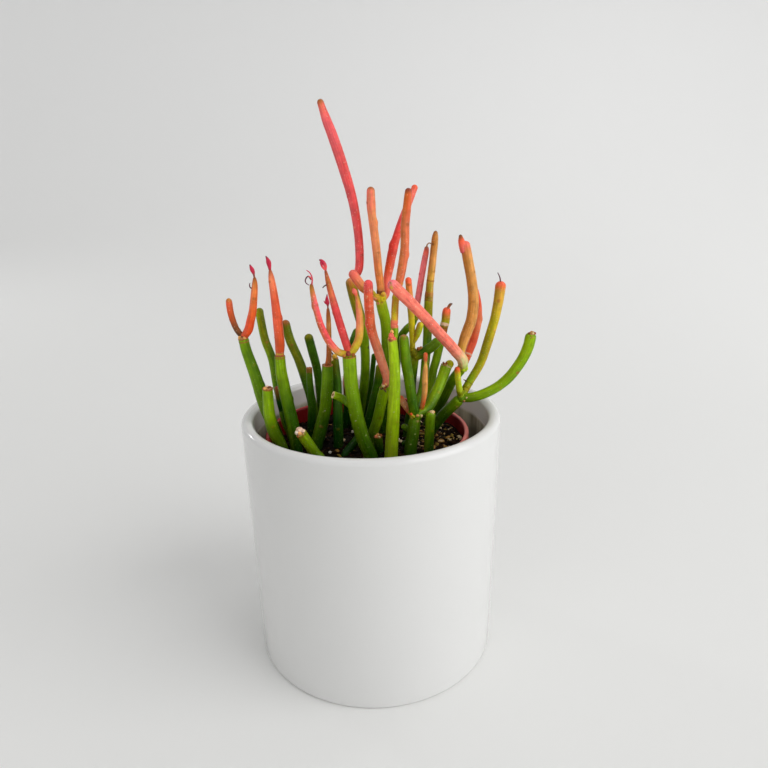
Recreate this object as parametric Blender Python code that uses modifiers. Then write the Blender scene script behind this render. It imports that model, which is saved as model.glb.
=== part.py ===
# Potted firestick pencil cactus: rooted cuttings in a nursery pot that stands inside a
# white ceramic pot. Metres, +Z up. The origin is the centre of the ceramic pot's flat
# underside, and the plant's front, the side of the stout bright stems, faces -Y.

import bisect
import math

import bmesh
import bpy
from mathutils import Matrix, Vector

MM = 0.001

# Ceramic cylinder pot
POT_RADIUS = 65.0 * MM
POT_HEIGHT = 129.0 * MM
POT_FOOT_RADIUS = 62.9 * MM
POT_FOOT_EDGE = 1.2 * MM
POT_LIP = 5.9 * MM
POT_INNER_RADIUS = 58.3 * MM
POT_INNER_FOOT_RADIUS = 56.5 * MM
POT_FLOOR = 9.0 * MM
POT_FLOOR_FILLET = 5.0 * MM

# Clearances
GAP = 0.3 * MM            # between two pieces that touch
HOLE_GAP = 0.35 * MM      # round a planted stem

# Nursery pot, a common 4 inch size, standing on the ceramic floor
NURSERY_CENTRE = (-2.1 * MM, 0.0)
NURSERY_RIM_RADIUS = 51.75 * MM
NURSERY_RIM_WIDTH = 2.6 * MM
NURSERY_RIM_HEIGHT = 9.0 * MM
NURSERY_RIM_DRAFT = 0.2 * MM
NURSERY_TOP = 118.7 * MM
NURSERY_BOTTOM = POT_FLOOR + GAP
NURSERY_WALL = 1.2 * MM
NURSERY_THROAT_RADIUS = 49.0 * MM
NURSERY_BASE_RADIUS = 40.5 * MM
NURSERY_FLOOR = 1.6 * MM
DRAIN_HOLE_RADIUS = 4.0 * MM
DRAIN_HOLE_RING = 26.0 * MM
DRAIN_HOLES = 6
DRAIN_HOLE_SIDES = 12

# Potting mix
SOIL_TOP = 111.0 * MM
ROOT_DEPTH = 13.0 * MM    # length of stem under the soil
ROOT_LEAN = 0.25          # share of its lean that a stem keeps under the soil
HOLE_RISE = 2.0 * MM      # how far a hole's cutter stands out of the soil at least
NECK_ROOT = 1.5 * MM      # how deep a growth's neck is sunk in its stem

# Fineness
POT_STEPS = 48
NURSERY_STEPS = 36
RING_STEP = 10.0 * MM     # between the rings of a stem
BUTT_STEP = 0.5 * MM      # from a flat end to the next ring
PATH_STEP = 0.5 * MM
WELD_DISTANCE = 0.01 * MM
SHARP_ANGLE = math.radians(40)

# A rounded tip: its last two rings, as shares of the stem's radius and of the tip's length
TIP_SHOULDER = 0.82
TIP_SHOULDER_PLACE = 0.65
TIP_END = 0.45

# Surface colours, linear RGB, with roughness
FINISHES = {
    "glazed_white": ((0.80, 0.79, 0.77), 0.18),
    "terracotta_plastic": ((0.52, 0.12, 0.09), 0.45),
    "potting_mix": ((0.06, 0.04, 0.025), 0.95),
    "stem_green": ((0.20, 0.36, 0.03), 0.42),
    "stem_olive": ((0.14, 0.20, 0.02), 0.45),
    "growth_red": ((0.72, 0.10, 0.08), 0.42),
    "growth_coral": ((0.80, 0.22, 0.13), 0.42),
    "growth_orange": ((0.74, 0.20, 0.06), 0.42),
    "growth_ochre": ((0.56, 0.26, 0.05), 0.44),
    "growth_lime": ((0.56, 0.50, 0.03), 0.42),
}

# The cuttings. A run is a list of stations (x, y, z, thickness) in millimetres, bottom to
# top. A stem's first station stands at soil level; a branch's first station lies inside
# the joint that it grows from. Growth of another colour is a piece of its own: it starts
# past a short neck, in millimetres, that belongs to the green stem. A leaf is a small
# blade at a growing tip: (base, tip, width, thickness).
CUTTINGS = [
    {
        "name": "left_forked_stem",
        "stem": [(-46, -5, 111, 5.8), (-48.2, -5.5, 120, 5.9), (-50.5, -6, 127, 6.0),
                 (-53, -7, 136.5, 6.0), (-55.5, -8.5, 150.5, 5.7), (-58.5, -9.5, 163, 5.0),
                 (-59.5, -10, 170, 4.7)],
        "joints": [(-59.5, -10, 170.3, 5.0)],
        "growth": {
            "left_fork_short_growth": {
                "finish": "growth_orange", "neck": 3.2,
                "run": [(-59.5, -10, 170, 2.8), (-62.5, -9.5, 174.5, 2.8),
                        (-64.5, -8.5, 181, 3.0), (-65, -8, 187.5, 3.0)]},
            "left_fork_tall_growth": {
                "finish": "growth_orange", "neck": 3.2, "taper": True,
                "run": [(-59.5, -10, 170, 3.4), (-56.5, -11, 174, 4.1), (-55, -11.5, 178.5, 3.9),
                        (-53.5, -12, 183.5, 3.6), (-52, -12, 192.5, 2.8), (-51.5, -12, 199, 1.3)],
                "leaf": ((-51.5, -12, 198.5), (-53.7, -12, 204.5), 2.0, 0.8)},
        },
    },
    {
        "name": "left_tall_stem",
        "stem": [(-38, -9.5, 111, 6.3), (-38.5, -10.5, 122.5, 6.3), (-40, -11, 133.5, 6.1),
                 (-41.5, -11.5, 144, 5.9), (-42.5, -12, 154, 5.4), (-42.5, -12.5, 161.5, 4.9)],
        "growth": {
            "left_tall_growth": {
                "finish": "growth_orange", "neck": 1.2, "taper": True,
                "run": [(-42.5, -12.5, 161.3, 4.2), (-42, -13, 169, 4.6), (-42.3, -13.5, 179, 4.3),
                        (-42.7, -14, 188, 3.7), (-43.5, -14, 197.5, 2.9), (-44, -14, 203, 1.3)],
                "leaf": ((-44, -14, 202.3), (-46, -14, 208.3), 2.4, 0.8)},
        },
    },
    {
        "name": "left_olive_stem", "finish": "stem_olive",
        "stem": [(-42.5, 8, 111, 4.2), (-45.5, 9, 121, 4.2), (-47, 10, 131.5, 4.2),
                 (-48.5, 10.5, 138.5, 4.2), (-50, 11.5, 153, 4.3), (-53, 12, 163.5, 4.2),
                 (-54.5, 12.5, 174, 4.1), (-55, 13, 180, 4.0)],
        "joints": [(-48.3, 10.5, 138.3, 4.9)],
    },
    {
        "name": "left_cut_stub", "cut": True,
        "stem": [(-43.5, -14.5, 111, 5.8), (-45.4, -14.1, 117.5, 5.8), (-48, -15, 125, 5.8),
                 (-49, -16, 133, 5.7), (-49, -16.5, 141, 5.2), (-48.7, -17, 147, 4.9)],
    },
    {
        "name": "left_back_long_stem", "finish": "stem_olive",
        "stem": [(-29.5, 13, 111, 4.8), (-30.5, 13.5, 119, 4.8), (-31.5, 14, 130, 4.8),
                 (-34, 15, 141, 4.9), (-37, 16, 151.5, 4.8), (-41, 17, 162, 4.7),
                 (-43.3, 18, 172.5, 4.5)],
    },
    {
        "name": "left_back_short_stem", "finish": "stem_olive",
        "stem": [(-27.5, 22, 111, 4.4), (-27.3, 21, 121.5, 4.3), (-27.3, 20, 132.5, 4.3),
                 (-28, 19, 145, 4.5), (-30, 18, 156, 4.7), (-31.7, 17, 165, 4.5)],
    },
    {
        "name": "left_thin_cut_stem", "cut": True,
        "stem": [(-31, 3, 111, 4.4), (-31, 3, 120, 4.4), (-30.2, 3, 131, 4.1),
                 (-30.5, 2.5, 139, 3.6), (-30.5, 2, 151, 2.9)],
    },
    {
        "name": "front_leaning_stub", "cut": True,
        "stem": [(-25, -22, 111, 5.3), (-27.5, -22.5, 115, 5.3), (-30.5, -23.5, 121, 5.2),
                 (-33.5, -25, 127, 5.1)],
    },
    {
        "name": "middle_left_stem",
        "stem": [(-28.5, -4.5, 111, 6.6), (-26.2, -5, 119, 6.6), (-24.5, -5.5, 125.5, 6.3),
                 (-23, -6, 131, 6), (-21.8, -7, 139.5, 6.0), (-21, -7.5, 147, 5.8),
                 (-20.5, -8, 155, 5.5)],
        "growth": {
            "middle_left_growth": {
                "finish": "growth_ochre", "neck": 1.6, "taper": True,
                "run": [(-20.5, -8, 154.5, 2.9), (-19.7, -8, 158.5, 2.7), (-19.3, -8, 165, 2.5),
                        (-19, -8, 175, 2.4), (-19, -8, 184, 1.3)],
                "leaf": ((-19, -8, 183.4), (-19.6, -8, 190), 1.7, 0.8)},
        },
    },
    {
        "name": "middle_left_back_stem", "finish": "stem_olive",
        "stem": [(-17, -6, 111, 5.1), (-16.7, -5.5, 125.5, 5), (-16.7, -4, 135.5, 4.8),
                 (-16.7, -2, 145.5, 4.5), (-17.5, 0, 157, 4)],
    },
    {
        "name": "front_forked_stem",
        "stem": [(-0.5, -21, 111, 6.7), (-4, -21.5, 121, 6.7), (-6.5, -22, 131.5, 6.6),
                 (-8, -22.5, 141.5, 6.5), (-9, -23, 151.5, 6.4), (-9.3, -23.5, 163, 6.3)],
        "branches": [
            {"cut": True, "run": [(-7.5, -22.3, 137.5, 3.8), (-12, -17.3, 139.5, 3.8),
                                  (-15, -17, 141.5, 3.8), (-18, -18, 143, 3.9)]}],
        "joints": [(-9.2, -23.5, 163.5, 6.4)],
        "growth": {
            "front_fork_left_growth": {
                "finish": "growth_coral", "neck": 4.6, "taper": True,
                "run": [(-9.2, -23.5, 164, 3.7), (-13.5, -24, 165, 3.3), (-16, -24.5, 167.5, 3.3),
                        (-18.5, -24.5, 171, 3.3), (-20.5, -24.5, 175.5, 3.1), (-22, -24.5, 180, 3),
                        (-24, -24, 189.5, 2.6), (-25.3, -24, 197, 1.3)],
                "leaf": ((-25.3, -24, 196.4), (-27, -24, 202), 1.7, 0.8)},
            "front_fork_middle_growth": {
                "finish": "growth_red", "neck": 4.6, "taper": True,
                "run": [(-9, -23.5, 164, 3.7), (-10.7, -22.5, 169.5, 3.7), (-13.3, -20.5, 178.5, 3.7),
                        (-15, -19.5, 185, 3.5), (-16.2, -19, 190, 3.1), (-17.5, -19, 195.5, 2.5),
                        (-19, -19, 203, 1.2)],
                "leaf": ((-18.9, -19, 202.4), (-21.2, -19, 207.3), 2.2, 0.8)},
            "front_fork_right_growth": {
                "finish": "growth_orange", "neck": 4.6, "taper": True,
                "run": [(-9, -23.5, 164, 3.7), (-6.3, -23.5, 167.5, 3.2), (-4.5, -23.5, 172, 3.2),
                        (-4, -23, 179, 3.1), (-4.2, -23, 184.5, 2.7), (-5, -23, 191, 1.3)],
                "leaf": ((-4.9, -23, 190.4), (-7.2, -23.7, 194), 1.7, 0.8)},
        },
    },
    {
        "name": "middle_hidden_stem", "finish": "stem_olive",
        "stem": [(-14, 25, 111, 5), (-12.5, 25, 122.5, 5), (-12.3, 24.5, 137.5, 4.9),
                 (-11, 24, 148, 4.8), (-8.5, 23.5, 158, 4.7), (-5.5, 23, 166, 4.5)],
    },
    {
        "name": "middle_back_stem", "finish": "stem_olive",
        "stem": [(-9, 20, 111, 4.9), (-6.7, 19, 118, 4.9), (-5, 18, 126.5, 4.8),
                 (-3, 16, 139.5, 4.8), (-2.2, 14, 152, 4.7), (-2.7, 12, 165, 5.1),
                 (-4, 11, 173, 5.4), (-6.5, 10, 183.5, 5.5), (-8, 9, 191, 5.4), (-8.5, 9, 194.5, 4.8)],
        "growth": {
            "tall_red_growth": {
                "finish": "growth_red", "neck": 6.0,
                "run": [(-7.7, 9.2, 192, 4), (-5.5, 9.5, 195.5, 3.7), (-4, 10, 199, 4.1),
                        (-3.5, 10, 206, 4.2), (-4, 10, 217, 4.2), (-6, 9, 231, 4.5),
                        (-9.5, 8, 244.5, 4.8), (-13.5, 7, 257.5, 4.8), (-16.5, 6, 266, 4.3),
                        (-18, 5.5, 270.5, 3.4), (-19.3, 5, 274.8, 2.8)]},
        },
    },
    {
        "name": "middle_callused_stem",
        "stem": [(-2, -7, 111, 5.1), (-0.5, -7.5, 116, 5), (3, -8.5, 126, 5.2), (5.5, -9.5, 137, 5.3),
                 (7, -10, 143, 5.3)],
        "joints": [(7, -10, 143.5, 5.4)],
        "growth": {
            "coral_growth": {
                "finish": "growth_coral", "neck": 3.0,
                "run": [(7, -10, 143, 3.9), (8, -10.5, 147.5, 3.6), (7, -11, 152.5, 4),
                        (5.5, -11.5, 157.5, 4.3), (4, -12, 163, 4.4), (1.3, -12.5, 172.5, 4.5),
                        (0.5, -13, 181.5, 4.5), (0.3, -13, 189.5, 4.5), (0.3, -13, 196.3, 4.2)]},
        },
    },
    {
        "name": "middle_olive_stem", "finish": "stem_olive",
        "stem": [(-3, 12, 111, 4.8), (-1.5, 10, 119, 4.5), (1.5, 8, 131, 4.4), (4, 6, 142.5, 4.1),
                 (5, 5, 151, 3.6)],
    },
    {
        "name": "middle_thin_stem", "finish": "stem_olive",
        "stem": [(-5, 30, 111, 3.1), (-3.5, 29, 119.5, 3.1), (0.5, 27, 136, 2.9),
                 (2.5, 25, 151.5, 2.7)],
    },
    {
        "name": "front_short_stub", "cut": True,
        "stem": [(3.5, -13.5, 111, 4.5), (3.3, -13.8, 115, 4.5), (3, -14, 119.5, 4.4)],
    },
    {
        "name": "front_low_stub", "cut": True,
        "stem": [(-13.5, -17, 111, 3.9), (-10.5, -14.5, 114.5, 4), (-6, -12, 119, 4)],
    },
    {
        "name": "middle_forked_stem",
        "stem": [(5.5, 12, 111, 5.9), (8, 11, 127, 5.8), (8.7, 10, 141, 5.7), (9, 9, 157.5, 5.6),
                 (8.7, 8, 170.5, 5.5), (7, 7, 179.5, 5.5), (6, 6.5, 184.5, 5.4)],
        "joints": [(6.2, 6.7, 184.3, 5.8)],
        "growth": {
            "arching_ochre_growth": {
                "finish": "growth_ochre", "neck": 4.2,
                "run": [(6, 6.5, 184.5, 4), (3.5, 4, 185.5, 3.7), (1, 2, 188, 4.2),
                        (-2.3, 0, 191, 4.6), (-5, -1, 194.7, 4.6), (-7.8, -2, 199.3, 4.3)]},
            "upright_tan_growth": {
                "finish": "growth_ochre", "neck": 4.2,
                "run": [(6.2, 6.5, 184.5, 4), (6.3, 6.5, 188.5, 3.8), (5.5, 6.5, 198, 4),
                        (4.7, 6.5, 208, 4), (3.8, 6.5, 217, 4), (3, 6.5, 224, 4),
                        (2.7, 6.5, 230, 4.3), (2.7, 6.5, 237, 3.7)]},
            "leaning_red_growth": {
                "finish": "growth_red", "neck": 5.2,
                "run": [(6.5, 7.5, 183.5, 3.2), (9.3, 11, 185.5, 3.1), (9.7, 13, 191.5, 3.8),
                        (11, 14, 198, 4.4), (12.8, 15, 206, 4.6), (15, 15.5, 213.5, 4),
                        (18.3, 16, 222.5, 3.7), (21.5, 16.5, 230, 3.4), (24.7, 17, 237.5, 3.1)]},
        },
    },
    {
        "name": "front_right_stem",
        "stem": [(9, -22, 111, 6.5), (10, -22, 125.5, 6.2), (11, -22, 141, 5.7), (11.5, -22, 153, 5.1),
                 (11, -22, 165, 4.6), (10.3, -22, 172, 4.2)],
        "branches": [
            {"run": [(11, -21.8, 169, 3.2), (12, -20.7, 173.5, 3.1), (11.6, -20, 177, 3.1)]}],
        "growth": {
            "orange_growth": {
                "finish": "growth_orange", "neck": 1.2,
                "run": [(11.6, -20, 176.5, 3.1), (12, -19.5, 181, 3.3), (12.5, -18.5, 187.5, 3.3),
                        (14, -17, 194, 3.6), (15.5, -16, 200.5, 4.1), (17, -15, 209.5, 4),
                        (17.5, -14, 220.5, 3.9), (18.4, -13, 228, 3.7), (19.3, -12, 236, 3)]},
        },
    },
    {
        "name": "right_branching_stem",
        "stem": [(18.5, -17, 111, 6.4), (20, -16.5, 120, 6.1), (21.5, -15, 130, 5.8)],
        "branches": [
            {"cut": True, "run": [(20.6, -16, 124.5, 3.9), (15, -12.5, 124, 3.5)]},
            {"cut": True, "run": [(19.3, -16.8, 116, 3.9), (15, -13, 115, 3.5)]},
            {"run": [(21.5, -15, 130, 4.9), (20, -15.5, 138, 4.9), (18.5, -16, 148.5, 4.9),
                     (17, -16.5, 158.5, 5), (16, -16.5, 171, 4.7)]},
            {"cut": True,
             "run": [(21.5, -15, 130, 4.9), (27, -12, 132, 5.2), (30.5, -9, 136, 5.4),
                     (35.5, -3, 144, 5.5), (38.5, 1, 150.5, 5.2)]},
            {"run": [(37.5, 0, 148, 3.5), (41, 2.5, 152.3, 4.2)]},
            {"run": [(21.5, -14, 130.5, 3.9), (24, -8, 135.5, 4.2), (26.5, -3, 142, 4.4),
                     (28, 3, 151, 4.4), (29.5, 9, 161, 4.5), (30, 10, 173.5, 4.5),
                     (30.5, 10.5, 183.5, 4.4)]},
            {"run": [(22, -14, 130.5, 3.9), (26, -4, 132.5, 4), (30.5, 3.5, 138, 4.3),
                     (32.5, 7, 146.5, 4.4), (34, 8, 151.5, 4.4), (36, 9, 159.5, 4.3),
                     (38, 10, 167.7, 4.2)]},
        ],
        "joints": [(21.8, -14.7, 130, 6.4)],
        "growth": {
            "right_small_orange_growth": {
                "finish": "growth_orange", "neck": 5.0, "taper": True,
                "run": [(24, -13, 130, 2.4), (25.3, -14.5, 136.5, 2.3), (26, -15, 142, 3),
                        (26.2, -15, 149, 3.1), (26.5, -14.5, 155, 2.4), (26.5, -14, 161.5, 1.6)]},
            "right_small_pink_growth": {
                "finish": "growth_coral", "neck": 4.8,
                "run": [(21.5, -15, 129.5, 2.9), (19, -13, 131.5, 3.3), (16.7, -12, 134.5, 3.5),
                        (14, -10.5, 139, 3.2)]},
            "right_ochre_growth": {
                "finish": "growth_ochre", "neck": 1.0,
                "run": [(30.5, 10.5, 183.3, 4.4), (31, 10.5, 190, 3.8), (32.3, 10.5, 201, 3.6),
                        (33.2, 11, 209, 3.5), (33.7, 11, 215.5, 3.0)]},
            "right_short_lime_growth": {
                "finish": "growth_lime", "neck": 1.0,
                "run": [(38, 10, 167.5, 4.2), (39, 10.5, 172.5, 4.3), (39.6, 10.5, 178, 3.9)]},
        },
    },
    {
        "name": "right_back_forked_stem", "finish": "stem_olive",
        "stem": [(19, 8, 111, 5.1), (21.3, 7, 128, 5), (21, 5, 139.5, 4.9), (22, 3, 150.5, 4.8),
                 (22.5, 2, 156, 4.8)],
        "branches": [
            {"run": [(22.5, 2, 155, 4.5), (27, 1.5, 157.5, 5), (31.5, 0.5, 161, 5),
                     (35, 0, 164.5, 4.8)]},
            {"run": [(22.5, 2, 156, 4), (21.5, 1.5, 160, 3.2)]}],
        "growth": {
            "right_back_lime_growth": {
                "finish": "growth_lime", "neck": 1.2,
                "run": [(21.5, 1.5, 159.5, 2.7), (21.4, 1, 164, 2.9), (21, 0, 174.5, 3.2),
                        (20.3, 0, 184.5, 3.3), (19.5, 0, 195.3, 3.1)],
                "shoot": [(21.45, 1.1, 162.5, 2.4), (23, 0.5, 165.5, 2.9), (24.5, -0.5, 169.5, 3.4),
                          (25.6, -1, 173.5, 3)]},
        },
    },
    {
        "name": "right_back_thin_stem", "finish": "stem_olive",
        "stem": [(13, 27, 111, 4.2), (14, 25, 125, 4.1), (14.5, 20, 149, 4), (16, 17.5, 160.5, 3.9),
                 (19, 16, 166, 3.8), (22.5, 15, 169.5, 3.6), (24, 14.5, 173.5, 3.2)],
        "growth": {
            "right_thin_pink_growth": {
                "finish": "growth_coral", "neck": 1.2, "taper": True,
                "run": [(24, 14.5, 173, 3.2), (25, 14.5, 180, 3.2), (27, 14.5, 192, 3.2),
                        (28.8, 14.5, 200.5, 3.1), (30.2, 14.5, 208.5, 2.2)]},
        },
    },
    {
        "name": "right_leaning_stem",
        "stem": [(31, 21, 111, 5.5), (36, 17, 122.5, 5.4), (38.5, 14, 128.5, 5.3),
                 (40.5, 11, 134.5, 5.3), (42.7, 6.5, 141.5, 5.2), (46.7, 1.5, 149, 5)],
        "joints": [(46.8, 1.5, 149.2, 5.4)],
        "growth": {
            "pink_diagonal_growth": {
                "finish": "growth_coral", "neck": 4.6,
                "run": [(47, 1.5, 149.5, 4.5), (46, -2.5, 154, 5.4), (42.5, -6, 159, 5.4),
                        (33.5, -13.5, 170, 5.2), (23.5, -21, 182, 5.1), (14, -27, 192.5, 5.2),
                        (9.5, -29.3, 197.5, 4.7)]},
            "big_ochre_growth": {
                "finish": "growth_ochre", "neck": 4.8,
                "run": [(46.7, 1.5, 149, 4), (46.3, 5.5, 155.5, 4.3), (48, 7, 162, 5.1),
                        (50, 8, 167, 5.5), (52, 8.5, 173, 5.5), (52.7, 9, 182, 5.4),
                        (51.5, 9, 192, 5.1), (49.5, 9, 202, 5.1), (47.7, 9, 211, 4.6)],
                "leaf": ((47.2, 8.5, 207.5), (45.4, 8, 214.3), 2.9, 2.0)},
            "red_orange_growth": {
                "finish": "growth_orange", "neck": 5.6,
                "run": [(46.7, 1.5, 149, 3.5), (50, 9, 152, 3.6), (52, 11.5, 156, 4.1),
                        (54, 13.5, 160.5, 4.3), (56, 15, 169.5, 4.4), (56, 16, 178, 4.4),
                        (54.3, 17, 187, 3.9)]},
        },
    },
    {
        "name": "far_right_stem",
        "stem": [(30.5, 7, 111, 5.8), (35, 5, 119.5, 5.8), (38.5, 2.5, 125, 5.7), (42, 1, 129, 5.6),
                 (46, -1, 134, 5.6)],
        "branches": [
            {"cut": True,
             "run": [(46, -1, 134, 4.5), (50, -2, 134.2, 4.8), (55, -2.5, 135.5, 5),
                     (60, -3, 137.7, 5), (65, -3.5, 141, 5), (70, -4, 146, 5.2),
                     (75, -4.5, 153.7, 5.3), (77.7, -5, 160.5, 5.5), (79, -5.5, 168, 5.4)]},
            {"run": [(46, -1, 134, 4.1), (48.5, 1, 138.5, 4.1)]}],
        "joints": [(46.2, -1, 134, 5.7)],
        "growth": {
            "far_right_stub_growth": {
                "finish": "growth_lime", "neck": 4.0,
                "run": [(46, -1, 134, 3), (44.5, -4, 139, 3.2), (43.5, -5.5, 145, 3.1),
                        (43, -6.5, 149, 3), (42.7, -7, 152, 2.6)]},
            "far_right_lime_growth": {
                "finish": "growth_lime", "neck": 1.2,
                "run": [(48.3, 0.8, 138, 4.1), (51, 2.5, 142, 4.1), (54.5, 3.5, 147.3, 4.2),
                        (57, 4, 152.5, 4.4), (60, 5, 162, 4.7), (62.8, 5.5, 172, 4.6),
                        (64.7, 6, 182, 4.8), (65.7, 6, 191.5, 5.1)]},
        },
    },
    {
        "name": "right_short_stub", "cut": True,
        "stem": [(28, -17, 111, 5.2), (28, -17.5, 118, 5.1), (28.5, -18, 129, 5.1),
                 (29, -18, 133.5, 4.8)],
    },
]


def clear_scene():
    for obj in list(bpy.data.objects):
        bpy.data.objects.remove(obj, do_unlink=True)


def new_collection(name, parent=None):
    collection = bpy.data.collections.new(name)
    (parent or bpy.context.scene.collection).children.link(collection)
    return collection


def surface_material(name, finish):
    colour, roughness = FINISHES[finish]
    material = bpy.data.materials.new(name + "_surface")
    material.use_nodes = True
    surface = material.node_tree.nodes["Principled BSDF"]
    surface.inputs["Base Color"].default_value = (*colour, 1.0)
    surface.inputs["Roughness"].default_value = roughness
    surface.inputs["Metallic"].default_value = 0.0
    return material


def mesh_object(name, cage, collection):
    # An object from a bmesh, which is freed.
    mesh = bpy.data.meshes.new(name)
    cage.to_mesh(mesh)
    cage.free()
    obj = bpy.data.objects.new(name, mesh)
    collection.objects.link(obj)
    return obj


def baked(source, collection):
    # The evaluated shape of an object, welded, as a mesh object that takes its place.
    evaluated = source.evaluated_get(bpy.context.evaluated_depsgraph_get())
    mesh = bpy.data.meshes.new_from_object(evaluated)
    cage = bmesh.new()
    cage.from_mesh(mesh)
    bmesh.ops.remove_doubles(cage, verts=cage.verts, dist=WELD_DISTANCE)
    cage.to_mesh(mesh)
    cage.free()
    name = source.name
    matrix = source.matrix_world.copy()
    bpy.data.objects.remove(source, do_unlink=True)
    obj = bpy.data.objects.new(name, mesh)
    obj.matrix_world = matrix
    collection.objects.link(obj)
    return obj


def add_boolean(obj, operands, operation):
    modifier = obj.modifiers.new(operation.title(), "BOOLEAN")
    modifier.operation = operation
    modifier.operand_type = "COLLECTION"
    modifier.collection = operands
    modifier.solver = "EXACT"
    return modifier


def is_closed(obj):
    # Whether the evaluated mesh has faces, and two of them at each edge.
    mesh = obj.evaluated_get(bpy.context.evaluated_depsgraph_get()).to_mesh()
    cage = bmesh.new()
    cage.from_mesh(mesh)
    closed = bool(cage.faces) and all(edge.is_manifold for edge in cage.edges)
    cage.free()
    obj.to_mesh_clear()
    return closed


def fused(pieces, collection):
    # One closed body of pieces that are sunk into each other.
    base, *others = pieces
    if not others:
        return base
    operands = new_collection(base.name + "_operands")
    for piece in others:
        collection.objects.unlink(piece)
        operands.objects.link(piece)
    union = add_boolean(base, operands, "UNION")
    if not is_closed(base):
        union.solver = "MANIFOLD"
    body = baked(base, collection)
    for piece in list(operands.objects):
        bpy.data.objects.remove(piece, do_unlink=True)
    bpy.data.collections.remove(operands)
    return body


def place(obj, finish, origin, parent):
    # Sets an object's origin, parent, shading and material. Its mesh comes in world space.
    parent_origin = parent.matrix_world.translation
    obj.data.transform(Matrix.Translation(-Vector(origin)) @ obj.matrix_world)
    obj.parent = parent
    obj.location = Vector(origin) - parent_origin
    obj.data.shade_smooth()
    obj.data.set_sharp_from_angle(angle=SHARP_ANGLE)
    obj.data.materials.append(surface_material(obj.name, finish))
    bpy.context.view_layer.update()


def turned(name, profile, centre, steps, collection):
    # A body turned round the vertical axis through the centre. Its (r, z) profile runs
    # from the axis up the inside, over the rim and down the outside back to the axis.
    mesh = bpy.data.meshes.new(name)
    edges = [(i, i + 1) for i in range(len(profile) - 1)]
    mesh.from_pydata([(r, 0.0, z) for r, z in profile], edges, [])
    obj = bpy.data.objects.new(name, mesh)
    obj.location = centre
    collection.objects.link(obj)
    screw = obj.modifiers.new("Turn", "SCREW")
    screw.steps = steps
    screw.render_steps = steps
    screw.use_merge_vertices = True
    screw.merge_threshold = WELD_DISTANCE
    bpy.context.view_layer.update()
    return baked(obj, collection)


def arc(centre, radius, start, end, steps):
    # Points (r, z) on an arc between two angles in degrees.
    angles = [math.radians(start + (end - start) * i / steps) for i in range(steps + 1)]
    return [(centre[0] + radius * math.cos(a), centre[1] + radius * math.sin(a)) for a in angles]


def add_ceramic_pot(collection, parent):
    fillet = (POT_INNER_FOOT_RADIUS - POT_FLOOR_FILLET, POT_FLOOR + POT_FLOOR_FILLET)
    lip = (POT_RADIUS - POT_LIP / 2, POT_HEIGHT - POT_LIP / 2)
    foot = (POT_FOOT_RADIUS - POT_FOOT_EDGE, POT_FOOT_EDGE)
    profile = [(0.0, POT_FLOOR),
               *arc(fillet, POT_FLOOR_FILLET, -90, 0, 3),
               (POT_INNER_RADIUS, POT_HEIGHT - 2 * POT_LIP),
               *arc(lip, POT_LIP / 2, 180, 0, 8),
               *arc(foot, POT_FOOT_EDGE, 0, -90, 2),
               (0.0, 0.0)]
    pot = turned("ceramic_pot", profile, (0.0, 0.0, 0.0), POT_STEPS, collection)
    place(pot, "glazed_white", (0.0, 0.0, 0.0), parent)


def nursery_inner_radius(z):
    # The inner wall tapers from the throat under the rim down to the base.
    share = (z - NURSERY_BOTTOM) / (NURSERY_TOP - NURSERY_RIM_HEIGHT - NURSERY_BOTTOM)
    low = NURSERY_BASE_RADIUS - NURSERY_WALL
    return low + share * (NURSERY_THROAT_RADIUS - low)


def add_nursery_pot(collection, cutters, parent):
    floor = NURSERY_BOTTOM + NURSERY_FLOOR
    rim_bottom = NURSERY_TOP - NURSERY_RIM_HEIGHT
    lip = (NURSERY_RIM_RADIUS - NURSERY_RIM_WIDTH / 2, NURSERY_TOP - NURSERY_RIM_WIDTH / 2)
    profile = [(0.0, floor),
               (nursery_inner_radius(floor), floor),
               (nursery_inner_radius(rim_bottom), rim_bottom),
               *arc(lip, NURSERY_RIM_WIDTH / 2, 180, 0, 4),
               (NURSERY_RIM_RADIUS - NURSERY_RIM_DRAFT, rim_bottom),
               (nursery_inner_radius(rim_bottom) + NURSERY_WALL, rim_bottom),
               (nursery_inner_radius(NURSERY_BOTTOM) + NURSERY_WALL, NURSERY_BOTTOM),
               (0.0, NURSERY_BOTTOM)]
    centre = Vector((*NURSERY_CENTRE, 0.0))
    pot = turned("nursery_pot", profile, centre, NURSERY_STEPS, collection)
    place(pot, "terracotta_plastic", centre, parent)
    holes = new_collection("drain_holes", cutters)
    for index in range(DRAIN_HOLES):
        angle = math.tau * index / DRAIN_HOLES
        cage = bmesh.new()
        bmesh.ops.create_cone(cage, cap_ends=True, segments=DRAIN_HOLE_SIDES, depth=4 * NURSERY_FLOOR,
                              radius1=DRAIN_HOLE_RADIUS, radius2=DRAIN_HOLE_RADIUS)
        hole = mesh_object("drain_hole_%d" % (index + 1), cage, holes)
        hole.location = centre + Vector((DRAIN_HOLE_RING * math.cos(angle),
                                         DRAIN_HOLE_RING * math.sin(angle), NURSERY_BOTTOM))
        hole.hide_render = True
        hole.display_type = "WIRE"
    add_boolean(pot, holes, "DIFFERENCE")


def add_soil(stem_holes, collection, parent):
    bottom = NURSERY_BOTTOM + NURSERY_FLOOR + GAP
    centre = Vector((*NURSERY_CENTRE, (SOIL_TOP + bottom) / 2))
    cage = bmesh.new()
    bmesh.ops.create_cone(cage, cap_ends=True, segments=NURSERY_STEPS, depth=SOIL_TOP - bottom,
                          radius1=nursery_inner_radius(bottom) - GAP,
                          radius2=nursery_inner_radius(SOIL_TOP) - 2 * GAP)
    soil = mesh_object("soil", cage, collection)
    soil.location = centre
    bpy.context.view_layer.update()
    place(soil, "potting_mix", centre, parent)
    add_boolean(soil, stem_holes, "DIFFERENCE")


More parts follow.
